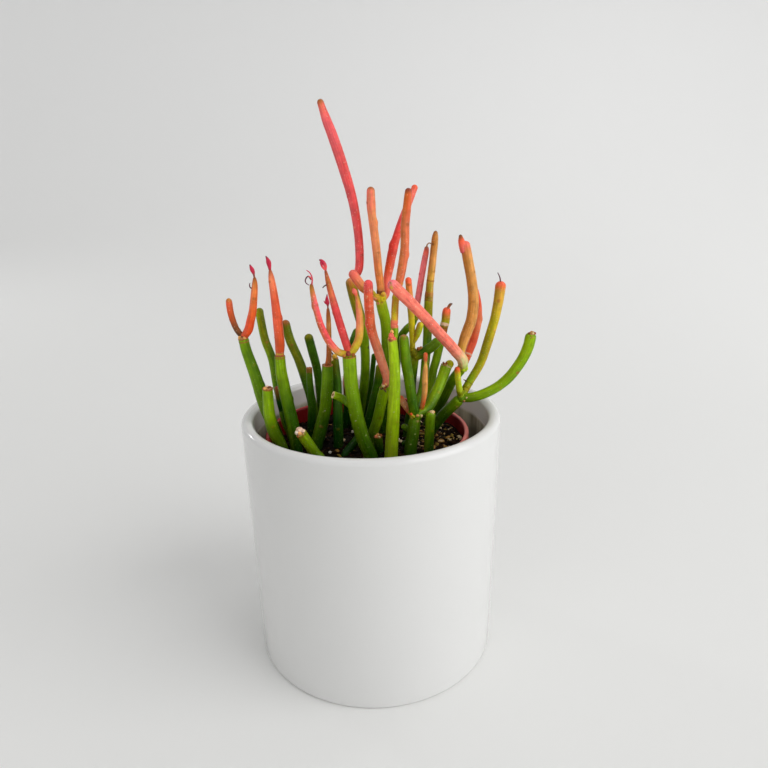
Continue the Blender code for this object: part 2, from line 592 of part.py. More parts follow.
def catmull_rom(a, b, c, d, t):
    return 0.5 * (2 * b + (c - a) * t + (2 * a - 5 * b + 4 * c - d) * t ** 2
                  + (3 * b - a - 3 * c + d) * t ** 3)


def smooth_path(knots):
    # Close points (x, y, z, radius) on a curve through the knots, with their distances
    # along it.
    knots = [2 * knots[0] - knots[1], *knots, 2 * knots[-1] - knots[-2]]
    points = []
    for a, b, c, d in zip(knots, knots[1:], knots[2:], knots[3:]):
        count = math.ceil((c - b).xyz.length / PATH_STEP)
        points += [catmull_rom(a, b, c, d, i / count) for i in range(count)]
    points.append(knots[-2])
    distances = [0.0]
    for a, b in zip(points, points[1:]):
        distances.append(distances[-1] + (b - a).xyz.length)
    return points, distances


def ring_at(path, distance):
    points, distances = path
    index = bisect.bisect_left(distances, distance, 1, len(points) - 1)
    share = (distance - distances[index - 1]) / (distances[index] - distances[index - 1])
    return points[index - 1].lerp(points[index], share)


def rings_along(path, start, end, style):
    # Rings of a tube from start to end. A rounded end narrows in two last rings. A flat
    # end is cut square to the path, and so meets the next tube face to face.
    butt_start = start > 0
    first = start + BUTT_STEP if butt_start else start
    last = end - (0.5 * ring_at(path, end).w if style == "rounded" else BUTT_STEP)
    count = max(1, round((last - first) / RING_STEP))
    rings = [ring_at(path, first + (last - first) * i / count) for i in range(count + 1)]
    if butt_start:
        rings.insert(0, ring_at(path, start))
    if style == "rounded":
        shoulder = ring_at(path, last + (end - last) * TIP_SHOULDER_PLACE)
        shoulder.w *= TIP_SHOULDER
        rings.append(shoulder)
    rings.append(ring_at(path, end))
    if style == "rounded":
        rings[-1].w *= TIP_END
    return rings


def tube(name, rings, collection):
    # A closed tube of eight sides through rings of (x, y, z, radius).
    curve = bpy.data.curves.new(name, "CURVE")
    curve.dimensions = "3D"
    curve.bevel_depth = 1.0
    curve.bevel_resolution = 2
    curve.use_fill_caps = True
    spline = curve.splines.new("POLY")
    spline.points.add(len(rings) - 1)
    for point, ring in zip(spline.points, rings):
        point.co = (*ring.xyz, 1.0)
        point.radius = ring.w
    obj = bpy.data.objects.new(name, curve)
    collection.objects.link(obj)
    return baked(obj, collection)


def ellipsoid(name, size, matrix, collection):
    cage = bmesh.new()
    bmesh.ops.create_uvsphere(cage, u_segments=8, v_segments=6, radius=0.5,
                              matrix=matrix @ Matrix.Diagonal((*size, 1.0)))
    return mesh_object(name, cage, collection)


def callus(name, station, collection):
    # The swollen joint that branches grow from.
    thickness = station[3] * MM
    centre = Vector(station[:3]) * MM
    return ellipsoid(name, (thickness,) * 3, Matrix.Translation(centre), collection)


def leaf_blade(name, leaf, collection):
    # A small upright leaf whose flat side faces the front.
    base, tip, width, thickness = leaf
    base = Vector(base) * MM
    tip = Vector(tip) * MM
    turn = (tip - base).to_track_quat("Z", "Y").to_matrix().to_4x4()
    length = (tip - base).length
    return ellipsoid(name, (width * MM, thickness * MM, length),
                     Matrix.Translation((base + tip) / 2) @ turn, collection)


def knots_of(run):
    return [Vector((x, y, z, thickness / 2)) * MM for x, y, z, thickness in run]


def rooted(knots):
    # The knots of a stem with the straight length that is planted in the soil. Under the
    # soil a stem keeps a share of its lean.
    lean = (knots[1] - knots[0]).xyz.normalized()
    lean = Vector((lean.x * ROOT_LEAN, lean.y * ROOT_LEAN, lean.z)).normalized()
    foot = knots[0].copy()
    foot.xyz -= lean * ROOT_DEPTH
    return [foot, *knots]


def add_soil_hole(name, stem_rings, holes):
    # A hole that follows the planted rings of a stem and opens above the soil.
    rings = []
    for ring in stem_rings:
        rings.append(ring.copy())
        if ring.z > SOIL_TOP + HOLE_RISE:
            break
    rings[0].xyz -= (rings[1] - rings[0]).xyz.normalized() * GAP
    for ring in rings:
        ring.w += HOLE_GAP
    hole = tube(name + "_hole", rings, holes)
    hole.hide_render = True
    hole.display_type = "WIRE"


def grow(name, run, collection, start=0.0, end=None, style="rounded"):
    path = smooth_path(knots_of(run))
    end = path[1][-1] if end is None else end
    return tube(name, rings_along(path, start, end, style), collection)


def add_cutting(cutting, collection, holes, parent):
    # The green stem with its branches, joints and the short necks of its coloured
    # growths is one body, and each growth is another.
    name = cutting["name"]
    knots = rooted(knots_of(cutting["stem"]))
    path = smooth_path(knots)
    style = "cut" if cutting.get("cut") else "rounded"
    rings = rings_along(path, 0.0, path[1][-1], style)
    add_soil_hole(name, rings, holes)
    pieces = [tube(name, rings, collection)]
    for branch in cutting.get("branches", []):
        style = "cut" if branch.get("cut") else "rounded"
        pieces.append(grow(name + "_branch", branch["run"], collection, style=style))
    for joint in cutting.get("joints", []):
        pieces.append(callus(name + "_joint", joint, collection))
    growths = cutting.get("growth", {})
    for growth in growths.values():
        pieces.append(grow(name + "_neck", growth["run"], collection,
                           start=-NECK_ROOT, end=growth["neck"] * MM, style="cut"))
    stem = fused(pieces, collection)
    place(stem, cutting.get("finish", "stem_green"), knots[1].xyz, parent)

    for growth_name, growth in growths.items():
        start = growth["neck"] * MM + GAP
        style = "cut" if growth.get("taper") else "rounded"
        pieces = [grow(growth_name, growth["run"], collection, start=start, style=style)]
        if "leaf" in growth:
            pieces.append(leaf_blade(growth_name + "_leaf", growth["leaf"], collection))
        if "shoot" in growth:
            pieces.append(grow(growth_name + "_shoot", growth["shoot"], collection))
        origin = ring_at(smooth_path(knots_of(growth["run"])), start).xyz
        place(fused(pieces, collection), growth["finish"], origin, stem)


def main():
    clear_scene()
    plant = new_collection("potted_firestick_cactus")
    cutters = new_collection("cutters")
    stem_holes = new_collection("stem_holes", cutters)
    root = bpy.data.objects.new("potted_plant_origin", None)
    plant.objects.link(root)
    add_ceramic_pot(plant, root)
    add_nursery_pot(plant, cutters, root)
    for cutting in CUTTINGS:
        add_cutting(cutting, plant, stem_holes, root)
    add_soil(stem_holes, plant, root)


main()
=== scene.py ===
import bisect
import math
import random

import bmesh
import bpy
from mathutils import Matrix, Vector, noise


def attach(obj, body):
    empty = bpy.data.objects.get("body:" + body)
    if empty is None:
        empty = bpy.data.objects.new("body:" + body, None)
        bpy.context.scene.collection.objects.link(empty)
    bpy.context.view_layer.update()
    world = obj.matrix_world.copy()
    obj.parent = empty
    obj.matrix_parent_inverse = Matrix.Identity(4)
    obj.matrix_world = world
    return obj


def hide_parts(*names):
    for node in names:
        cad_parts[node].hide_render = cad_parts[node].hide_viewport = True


mm = 0.001

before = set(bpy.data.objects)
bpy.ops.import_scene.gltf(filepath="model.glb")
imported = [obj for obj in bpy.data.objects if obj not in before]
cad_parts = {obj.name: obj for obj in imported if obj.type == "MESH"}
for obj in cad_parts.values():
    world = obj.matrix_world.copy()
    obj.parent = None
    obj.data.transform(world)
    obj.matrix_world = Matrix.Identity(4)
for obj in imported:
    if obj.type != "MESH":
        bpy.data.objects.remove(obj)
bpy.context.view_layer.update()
print("frame loaded with", len(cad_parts), "nodes")


def addObject(name, data):
    obj = bpy.data.objects.new(name, data)
    bpy.context.scene.collection.objects.link(obj)
    return obj


# Camera: it stands a little above the plant's tips and looks down at the pot
camera = {
    "place": (0.0, -298.4, 235.0),
    "pitchDown": 17.30,
    "turnRight": 1.32,
    "roll": -1.19,
    "lens": 29.07,
    "sensor": 36.0,
    "nearest": 10.0,
}


def setCamera():
    lens = bpy.data.cameras.new("studioCamera")
    lens.lens = camera["lens"]
    lens.sensor_width = camera["sensor"]
    lens.clip_start = camera["nearest"] * mm
    turn = (Matrix.Rotation(math.radians(-camera["turnRight"]), 4, "Z")
            @ Matrix.Rotation(math.radians(90 - camera["pitchDown"]), 4, "X")
            @ Matrix.Rotation(math.radians(camera["roll"]), 4, "Z"))
    body = addObject("studioCamera", lens)
    body.matrix_world = Matrix.Translation(Vector(camera["place"]) * mm) @ turn
    bpy.context.scene.camera = body


setCamera()


# Light: one broad window light from the right, a weak fill and a bright room round them
lamps = {
    "windowLight": {"place": (1700, -900, 1250), "size": 2300, "watts": 30.5},
    "fillLight": {"place": (-1500, -1800, 1400), "size": 1600, "watts": 3.0},
    "backdropLight": {"place": (900, 1500, 2300), "size": 900, "watts": 9.0, "aim": (900, 4200, 900)},
    "sweepLight": {"place": (900, 700, 1500), "size": 700, "watts": 3.0, "aim": (900, 2100, 100)},
    "edgeLight": {"place": (-1250, 1000, 720), "size": 150, "watts": 1.3},  # a glint on the lip
}
room = {"colour": "#e9e9ea", "strength": 0.71}
plantMiddle = (0, 0, 120)  # what a lamp looks at if it has no aim of its own


def between(low, value, high):
    return max(low, min(high, value))


def linear(hexColour):
    # sRGB hex to linear RGBA
    parts = [int(hexColour[i:i + 2], 16) / 255 for i in (1, 3, 5)]
    return tuple(p / 12.92 if p <= 0.04045 else ((p + 0.055) / 1.055) ** 2.4 for p in parts) + (1.0,)


def addLamp(name, lamp):
    data = bpy.data.lights.new(name, "AREA")
    data.shape = "DISK"
    data.size = lamp["size"] * mm
    data.energy = lamp["watts"]
    place = Vector(lamp["place"]) * mm
    aim = Vector(lamp.get("aim", plantMiddle)) * mm
    obj = addObject(name, data)
    obj.visible_camera = False
    obj.matrix_world = Matrix.Translation(place) @ (aim - place).to_track_quat("-Z", "Y").to_matrix().to_4x4()


def setRoom():
    world = bpy.data.worlds.new("studioRoom")
    world.use_nodes = True
    walls = world.node_tree.nodes["Background"]
    walls.inputs["Color"].default_value = linear(room["colour"])
    walls.inputs["Strength"].default_value = room["strength"]
    bpy.context.scene.world = world
    bpy.context.scene.view_settings.view_transform = "Standard"


for name, lamp in lamps.items():
    addLamp(name, lamp)
setRoom()


# Colours of the plant, by what they are seen on
palette = {
    "shade": "#164e04", "deep": "#3a6602", "stem": "#5e8302", "leafGreen": "#83aa04",
    "bright": "#a0c40c", "lime": "#bed62a", "paleLime": "#dce39a", "oliveLime": "#a4a40c",
    "olive": "#7d7c04", "darkOlive": "#646804", "khaki": "#a59a14", "yellow": "#d2c61c",
    "gold": "#dcae3a", "golden": "#f0b26a", "ochre": "#e09d52", "brownOchre": "#c67f34",
    "tanSkin": "#e8ac68", "tangerine": "#f38f4c", "apricot": "#fb9366", "orange": "#f5702e",
    "scarlet": "#f95a2a", "rust": "#d9582a", "coral": "#fb6846", "salmon": "#ff9a7e",
    "pink": "#fa7866", "rose": "#ee5656", "red": "#e0443a", "crimson": "#c8103e",
    "plum": "#5d1f33", "crimsonBark": "#8e4030", "brown": "#a05e2c", "umber": "#7d4a28",
    "bark": "#4d3320", "cork": "#b5854c", "paleCork": "#e0c48f", "cutPink": "#e8c3aa",
    "cream": "#f1e4cf", "peach": "#ffab7c", "pinkRose": "#f4686c", "brick": "#c9502c",
    "softPink": "#ff858c", "coralPink": "#ff806c", "rustCoral": "#e0784e", "deepRose": "#d94747",
}


def feed(node, values):
    # Small letters name a property of the node, and the rest its sockets. A value is a number
    # or a colour, or the node or socket that feeds it.
    for key, value in values.items():
        if isinstance(value, bpy.types.Node):
            value = next(output for output in value.outputs if output.enabled)
        if isinstance(key, str) and key.islower():
            setattr(node, key, value)
        elif isinstance(value, bpy.types.NodeSocket):
            node.id_data.links.new(value, node.inputs[key])
        else:
            node.inputs[key].default_value = value


def addNode(tree, kind, values={}):
    new = tree.nodes.new("ShaderNode" + kind)
    feed(new, values)
    return new


def newMaterial(name):
    material = bpy.data.materials.new(name)
    material.use_nodes = True
    return material, material.node_tree, material.node_tree.nodes["Principled BSDF"]


def scaleFor(size):
    # The texture scale that draws a pattern at a size in millimetres
    return 1 / (size * mm)


# Living skin of the stems: a waxy cuticle, smooth and half glossy, over fine lengthwise
# grain. Green wood is the youngest, red tips are sun-stressed growth.
skins = {
    "stem_green": {"grain": 0.24, "mottle": 0.13, "dust": 0.16, "rough": 0.34},
    "stem_olive": {"grain": 0.25, "mottle": 0.18, "dust": 0.14, "rough": 0.38},
    "growth_red": {"grain": 0.17, "mottle": 0.15, "dust": 0.42, "rough": 0.34},
    "growth_coral": {"grain": 0.2, "mottle": 0.2, "dust": 0.7, "rough": 0.34},
    "growth_orange": {"grain": 0.17, "mottle": 0.15, "dust": 0.28, "rough": 0.35},
    "growth_ochre": {"grain": 0.19, "mottle": 0.16, "dust": 0.28, "rough": 0.37},
    "growth_lime": {"grain": 0.18, "mottle": 0.15, "dust": 0.26, "rough": 0.35},
}
skinLook = {
    "grainWidth": 0.85,  # real grain is finer, and is drawn this coarse to show
    "grainStretch": 0.07,
    "mottleSize": 3.6,
    "poreSpacing": 1.1,
    "poreSize": 0.3,
    "poreTone": "#f1e6c8",
    "relief": 0.12,
    "reliefStrength": 0.35,
    "roughSpread": (-0.08, 0.12),  # smoother and rougher patches
    "glow": (1.0, 0.6, 0.2),  # how far red, green and blue light spread inside
    "glowDepth": 0.8,
}


def waxySkin(name, skin):
    material, tree, surface = newMaterial(name)
    colour = addNode(tree, "Attribute", {"attribute_name": "skinColour"})
    place = addNode(tree, "Attribute", {"attribute_name": "skinGrain"}).outputs["Vector"]
    stretched = addNode(tree, "Mapping", {"Vector": place, "Scale": (1.0, 1.0, skinLook["grainStretch"])})
    grain = addNode(tree, "TexNoise", {"Vector": stretched, "Scale": scaleFor(skinLook["grainWidth"]),
                                       "Detail": 3.0})
    mottle = addNode(tree, "TexNoise", {"Vector": place, "Scale": scaleFor(skinLook["mottleSize"]),
                                        "Detail": 4.0})
    cells = addNode(tree, "TexVoronoi", {"Vector": place, "Scale": scaleFor(skinLook["poreSpacing"])}).outputs
    tone, patch = [addNode(tree, "MapRange", {"Value": pattern, "From Min": 0.3, "From Max": 0.7,
                                              "To Min": 1 - skin[share], "To Max": 1 + skin[share]})
                   for pattern, share in ((grain, "grain"), (mottle, "mottle"))]
    both = addNode(tree, "Math", {"operation": "MULTIPLY", 0: tone, 1: patch})
    toned = addNode(tree, "VectorMath", {"operation": "SCALE", "Vector": colour, "Scale": both})
    # Each cell has a chance of its own, so that only some pores show, and not all as clearly
    chance = addNode(tree, "MapRange", {"Value": cells["Color"], "From Min": 0.3, "From Max": 0.8,
                                        "To Max": skin["dust"]})
    pore = skinLook["poreSize"] / skinLook["poreSpacing"]
    dots = addNode(tree, "MapRange", {"Value": cells["Distance"], "From Min": 0.45 * pore, "From Max": pore,
                                      "To Min": chance, "To Max": 0.0})
    dusted = addNode(tree, "Mix", {"data_type": "RGBA", 0: dots, 6: toned, 7: linear(skinLook["poreTone"])})
    smooth, rough = skinLook["roughSpread"]
    gloss = addNode(tree, "MapRange", {"Value": mottle, "To Min": skin["rough"] + smooth,
                                       "To Max": skin["rough"] + rough})
    relief = addNode(tree, "Math", {"operation": "ADD", 0: grain, 1: mottle})
    bump = addNode(tree, "Bump", {"Height": relief, "Strength": skinLook["reliefStrength"],
                                  "Distance": skinLook["relief"] * mm})
    feed(surface, {"Base Color": dusted, "Roughness": gloss, "Normal": bump, "IOR": 1.45,
                   "Subsurface Weight": 0.08, "Subsurface Radius": skinLook["glow"],
                   "Subsurface Scale": skinLook["glowDepth"] * mm, "Specular IOR Level": 0.17})
    return material


# Glazed stoneware: a thick clear-white gloss glaze, wiped off inside below the lip, where the
# clay is matt and painted a darker grey-brown, partly its own colour and partly painted shade down
# inside the pot
glazeLook = {
    "glaze": "#dfdfde",
    # partly painted shade: the clay is painted darker, as it is seen in the shade inside the pot
    "clay": "#babca6",
    "stain": "#75725c",
    "stainWidth": 7.692,
    "stainStretch": 0.12,
    "glazeDepth": 10.5,  # how far down the inside it reaches
    "waver": 1.0,
    "waverSize": 11.11,
    "fade": (1.6, 0.6),  # below and above the glaze's edge
    "rippleSize": 9.0,
    "clayGrit": 0.5,
    "relief": 0.3,
    "rough": (0.15, 0.85),  # of the glaze and of the clay
}


def glazedStoneware():
    look = glazeLook
    material, tree, surface = newMaterial("glazedStoneware")
    place = addNode(tree, "TexCoord").outputs["Object"]
    along = addNode(tree, "SeparateXYZ", {"Vector": place}).outputs
    flat = addNode(tree, "CombineXYZ", {"X": along["X"], "Y": along["Y"]})
    radius = addNode(tree, "VectorMath", {"operation": "LENGTH", "Vector": flat})
    wobble = addNode(tree, "TexNoise", {"Vector": place, "Scale": scaleFor(look["waverSize"]), "Detail": 2.0})
    lift = addNode(tree, "Math", {"operation": "MULTIPLY", 0: wobble, 1: look["waver"] * 2 * mm})
    height = addNode(tree, "Math", {"operation": "ADD", 0: along["Z"], 1: lift})
    line = pot["height"] - look["glazeDepth"] + look["waver"]
    low, high = (line - look["fade"][0]) * mm, (line + look["fade"][1]) * mm
    below = addNode(tree, "MapRange", {"Value": height, "From Min": low, "From Max": high,
                                       "To Min": 1.0, "To Max": 0.0})
    lipMiddle = (pot["radius"] - pot["lip"] / 2) * mm
    inside = addNode(tree, "Math", {"operation": "LESS_THAN", 0: radius, 1: lipMiddle})
    # inside below the glaze's edge: matt clay, painted darker, partly as shade inside the pot
    bareAndShaded = addNode(tree, "Math", {"operation": "MULTIPLY", 0: below, 1: inside})
    drips = addNode(tree, "Mapping", {"Vector": place, "Scale": (1.0, 1.0, look["stainStretch"])})
    runs = addNode(tree, "TexNoise", {"Vector": drips, "Scale": scaleFor(look["stainWidth"]), "Detail": 4.0})
    cloud = addNode(tree, "MapRange", {"Value": runs, "From Min": 0.34, "From Max": 0.66, "To Max": 1.0})
    clay = addNode(tree, "Mix", {"data_type": "RGBA", 0: cloud, 6: linear(look["stain"]),
                                 7: linear(look["clay"])})
    tone = addNode(tree, "Mix", {"data_type": "RGBA", 0: bareAndShaded, 6: linear(look["glaze"]), 7: clay})
    gloss = addNode(tree, "MapRange", {"Value": bareAndShaded, "To Min": look["rough"][0], "To Max": look["rough"][1]})
    ripple = addNode(tree, "TexNoise", {"Vector": place, "Scale": scaleFor(look["rippleSize"]),
                                        "Detail": 1.0})
    grit = addNode(tree, "TexNoise", {"Vector": place, "Scale": scaleFor(look["clayGrit"]), "Detail": 3.0})
    depth = addNode(tree, "Mix", {"data_type": "FLOAT", 0: bareAndShaded, 2: ripple, 3: grit})
    bump = addNode(tree, "Bump", {"Height": depth, "Strength": 0.15, "Distance": look["relief"] * mm})
    feed(surface, {"Base Color": tone, "Roughness": gloss, "Normal": bump, "IOR": 1.5})
    return material


# Blow-moulded polypropylene: a satin terracotta red, scuffed and dusty from the nursery. Light
# and shade are painted on it: a lit pale pink on the right, a shaded deep red on the left, and a
# deep dark red painted as shade down the inside
plasticLook = {
    "faded": "#e07a70",
    "dusty": "#a9756a",
    "fresh": "#b02a28",
    # painted shade down the inside of the rim
    "wet": "#780608",
    "litFrom": -15.0,  # painted light and shade: from here to the right the plastic is painted the lit pale pink, to the left the shaded deep red
    "litTo": 40.0,
    "insideShadeRadius": (49.4, 50.1),
    "dirtSize": 4.545,
    "scuffSize": 0.7143,
    "relief": 0.05,
    "rough": (0.34, 0.62),
}


def mouldedPlastic():
    look = plasticLook
    material, tree, surface = newMaterial("mouldedPolypropylene")
    place = addNode(tree, "TexCoord").outputs["Object"]
    dirt = addNode(tree, "TexNoise", {"Vector": place, "Scale": scaleFor(look["dirtSize"]), "Detail": 6.0,
                                      "Roughness": 0.7})
    scuff = addNode(tree, "TexNoise", {"Vector": place, "Scale": scaleFor(look["scuffSize"]), "Detail": 2.0})
    spread = addNode(tree, "MapRange", {"Value": dirt, "From Min": 0.5, "From Max": 0.75, "To Max": 0.55})
    tone = addNode(tree, "Mix", {"data_type": "RGBA", 0: spread, 6: linear(look["faded"]),
                                 7: linear(look["dusty"])})
    along = addNode(tree, "SeparateXYZ", {"Vector": place}).outputs
    # painted light and shade: paler pink towards the lit right side, deeper red towards the shaded left
    litSide = addNode(tree, "MapRange", {"Value": along["X"], "From Min": look["litFrom"] * mm,
                                     "From Max": look["litTo"] * mm})
    skin = addNode(tree, "Mix", {"data_type": "RGBA", 0: litSide, 6: linear(look["fresh"]), 7: tone})
    # painted shade: inside the rim the wall is painted a deep dark red
    fromMiddle = addNode(tree, "VectorMath", {"operation": "SUBTRACT", 0: place,
                                              1: (nurseryPot["centre"][0] * mm, 0, 0)})
    flat = addNode(tree, "VectorMath", {"operation": "MULTIPLY", 0: fromMiddle, 1: (1, 1, 0)})
    away = addNode(tree, "VectorMath", {"operation": "LENGTH", 0: flat})
    wet = addNode(tree, "MapRange", {"Value": away, "From Min": look["insideShadeRadius"][0] * mm,
                                     "From Max": look["insideShadeRadius"][1] * mm, "To Min": 1.0, "To Max": 0.0})
    walls = addNode(tree, "Mix", {"data_type": "RGBA", 0: wet, 6: skin, 7: linear(look["wet"])})
    gloss = addNode(tree, "MapRange", {"Value": dirt, "To Min": look["rough"][0], "To Max": look["rough"][1]})
    bump = addNode(tree, "Bump", {"Height": scuff, "Strength": 0.2, "Distance": look["relief"] * mm})
    feed(surface, {"Base Color": walls, "Roughness": gloss, "Normal": bump, "IOR": 1.49,
                   "Specular IOR Level": 0.25})
    return material


# Loose mix of peat and bark fines: dark, matt and fibrous; crumbs carry their own colour
looseLook = {"fibreSize": 0.909, "relief": 0.3}


def looseMix(name, valleyTone, peakTone, ownColour):
    material, tree, surface = newMaterial(name)
    place = addNode(tree, "TexCoord").outputs["Object"]
    fine = addNode(tree, "TexNoise", {"Vector": place, "Scale": scaleFor(looseLook["fibreSize"]),
                                      "Detail": 5.0, "Roughness": 0.7})
    tone = addNode(tree, "Mix", {"data_type": "RGBA", 0: fine, 6: linear(valleyTone), 7: linear(peakTone)})
    if ownColour:
        own = addNode(tree, "Attribute", {"attribute_name": "crumbColour"})
        tone = addNode(tree, "Mix", {"data_type": "RGBA", "blend_type": "MULTIPLY", 0: 1.0, 6: own, 7: tone})
    bump = addNode(tree, "Bump", {"Height": fine, "Strength": 0.7, "Distance": looseLook["relief"] * mm})
    feed(surface, {"Base Color": tone, "Normal": bump, "Roughness": 0.92, "Specular IOR Level": 0.12})
    return material


# Young leaf: thin crimson tissue, satin, darker where it dries at the tip
leafLook = {"veinSize": 1.111, "relief": 0.1, "glow": (1.0, 0.3, 0.3), "glowDepth": 0.4}


def leafTissue():
    material, tree, surface = newMaterial("youngLeaf")
    colour = addNode(tree, "Attribute", {"attribute_name": "skinColour"})
    place = addNode(tree, "TexCoord").outputs["Object"]
    vein = addNode(tree, "TexNoise", {"Vector": place, "Scale": scaleFor(leafLook["veinSize"]),
                                      "Detail": 2.0})
    bump = addNode(tree, "Bump", {"Height": vein, "Strength": 0.3, "Distance": leafLook["relief"] * mm})
    feed(surface, {"Base Color": colour, "Normal": bump, "Roughness": 0.45, "Subsurface Weight": 0.2,
                   "Subsurface Radius": leafLook["glow"], "Subsurface Scale": leafLook["glowDepth"] * mm})
    return material


def meshFrom(name, shape):
    # A finished bmesh as a mesh
    mesh = bpy.data.meshes.new(name)
    shape.to_mesh(mesh)
    shape.free()
    return mesh


def pieceFrom(name, shape, material, slot, *nodes):
    # A finished piece from a bmesh, riding on the row's one body
    bmesh.ops.recalc_face_normals(shape, faces=shape.faces)
    mesh = meshFrom(name, shape)
    mesh.shade_smooth()
    mesh.materials.append(material)
    obj = addObject(name, mesh)
    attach(obj, "root")
    if nodes:
        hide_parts(*nodes)
    return obj


# The ceramic pot: a plain slip-cast cylinder with a full-round lip
pot = {
    "radius": 65.0,
    "height": 129.0,
    "foot": 62.9,
    "footEdge": 1.2,
    "lip": 5.9,
    "inner": 58.3,
    "innerFoot": 56.5,
    "floor": 9.0,
    "fillet": 5.0,
    "steps": 192,
}
touch = 1e-5  # two points closer than this in metres are one


def spunShape(profile, steps, centre=(0.0, 0.0)):
    # Spins corner points (r, z) round the vertical axis through the centre
    shape = bmesh.new()
    x, y = centre[0] * mm, centre[1] * mm
    corners = [shape.verts.new((x + r * mm, y, z * mm)) for r, z in profile]
    edges = [shape.edges.new(pair) for pair in zip(corners, corners[1:])]
    bmesh.ops.spin(shape, geom=corners + edges, cent=(x, y, 0), axis=(0, 0, 1), angle=math.tau, steps=steps,
                   use_merge=True)
    bmesh.ops.remove_doubles(shape, verts=shape.verts, dist=touch / 10)
    return shape


def roundCorner(shape, radius, height, offset, segments, centre=(0.0, 0.0)):
    # Bevels the circle of edges at a radius and height
    def onCircle(vert):
        away = math.hypot(vert.co.x - centre[0] * mm, vert.co.y - centre[1] * mm)
        return abs(away - radius * mm) < touch and abs(vert.co.z - height * mm) < touch
    circle = [e for e in shape.edges if onCircle(e.verts[0]) and onCircle(e.verts[1])]
    bmesh.ops.bevel(shape, geom=circle, offset=offset * mm, offset_type="OFFSET", affect="EDGES",
                    segments=segments, profile=0.5, material=-1)


def makePot():
    outer, inner, top, lip = pot["radius"], pot["inner"], pot["height"], pot["lip"]
    lipInner = outer - lip
    profile = [(0.0, pot["floor"]), (pot["innerFoot"], pot["floor"]), (inner, top - 2 * lip),
               (lipInner, top - lip * 0.53), (lipInner, top), (outer, top), (pot["foot"], 0.0), (0.0, 0.0)]
    shape = spunShape(profile, pot["steps"])
    roundCorner(shape, outer, top, lip * 0.49, 10)
    roundCorner(shape, lipInner, top, lip * 0.49, 10)
    roundCorner(shape, pot["foot"], 0.0, pot["footEdge"], 5)
    roundCorner(shape, pot["innerFoot"], pot["floor"], pot["fillet"], 6)
    pieceFrom("ceramicPot", shape, glazedStoneware(), "glazed_white", "ceramic_pot")


makePot()
print("ceramic pot made")


# The nursery pot: thin plastic with a rolled rim, standing inside off centre
nurseryPot = {
    "centre": (-2.1, 0.0),
    "rim": 51.75,
    "rimWidth": 2.6,
    "rimHeight": 9.0,
    "rimDraft": 0.2,
    "top": 118.7,
    "bottom": 9.3,
    "throat": 49.0,
    "base": 40.5,
    "wall": 1.2,
    "floor": 1.6,
    "holes": 6,
    "holeRadius": 4.0,
    "holeRing": 26.0,
    "steps": 120,
}


def makeNurseryPot():
    n = nurseryPot
    rimBottom = n["top"] - n["rimHeight"]
    floor = n["bottom"] + n["floor"]
    rimInner = n["rim"] - n["rimWidth"]
    rimFoot = n["rim"] - n["rimDraft"]
    profile = [(0.0, floor), (n["base"] - n["wall"], floor), (n["throat"], rimBottom), (rimInner, n["top"]),
               (n["rim"], n["top"]), (rimFoot, rimBottom), (n["throat"] + n["wall"], rimBottom),
               (n["base"], n["bottom"]), (0.0, n["bottom"])]
    shape = spunShape(profile, n["steps"], n["centre"])
    roundCorner(shape, n["rim"], n["top"], n["rimWidth"] * 0.45, 5, n["centre"])
    roundCorner(shape, rimInner, n["top"], n["rimWidth"] * 0.45, 5, n["centre"])
    roundCorner(shape, rimFoot, rimBottom, 0.3, 2, n["centre"])
    piece = pieceFrom("nurseryPot", shape, mouldedPlastic(), "terracotta_plastic", "nursery_pot")
    cutters = bmesh.new()
    for k in range(n["holes"]):
        angle = math.tau * k / n["holes"]
        x, y = n["centre"][0] + n["holeRing"] * math.cos(angle), n["holeRing"] * math.sin(angle)
        bmesh.ops.create_cone(cutters, cap_ends=True, segments=32, radius1=n["holeRadius"] * mm,
                              radius2=n["holeRadius"] * mm, depth=5 * n["floor"] * mm,
                              matrix=Matrix.Translation(Vector((x, y, n["bottom"])) * mm))
    drill = addObject("drainHoles", meshFrom("drainHoles", cutters))
    cut = piece.modifiers.new("drain", "BOOLEAN")
    cut.operation = "DIFFERENCE"
    cut.object = drill
    cut.solver = "EXACT"
    drilled = bpy.data.meshes.new_from_object(piece.evaluated_get(bpy.context.evaluated_depsgraph_get()))
    piece.modifiers.clear()
    piece.data = drilled
    bpy.data.objects.remove(drill)


makeNurseryPot()
print("nursery pot made")


# Potting mix: a low uneven heap of peat with bark chips, fibres and perlite on it
mix = {
    "top": 110.6,
    "bottom": 11.2,
    "clearance": 0.4,
    "heap": 2.0,
    "lumps": (13, 4),  # widths of the large and the small lumps
    "sag": 1.2,  # how much lower it lies at sagRadius than in the middle
    "sagRadius": 48,
    "bank": 3.2,  # the soil is heaped up against the wall on the right
    "bankFrom": 14,
    "bankWidth": 28,
    "ringStep": 2.2,
    "steps": 96,
    "chips": 1000,
    "chipSize": (1.4, 5.4),
    "shreds": 420,
    "shredSize": (1.6, 4.6),
    "fibres": 100,
    "fibreSize": (5, 11),
    "perlite": 26,
    "perliteSize": (1.0, 2.8),
    "perliteTones": ("#e9e4da", "#d8d2c4", "#f2efe8"),
    "darkTones": ("#1d120a", "#2b1b10", "#160e08", "#33200f", "#241811", "#3a2614"),
    "paleTones": ("#7d5a30", "#c09a58", "#e8cd94", "#3a2614", "#a8964a", "#fbeecb", "#2b1b10"),
    "litSoilSide": 20.0,  # beyond this far to the right more pale chips lie on top: painted light on the lit right, with the soil to the left and in the middle painted dark as shade
    "paleShare": (0.6, 0.05),  # there, and elsewhere
    "seed": 4,
}
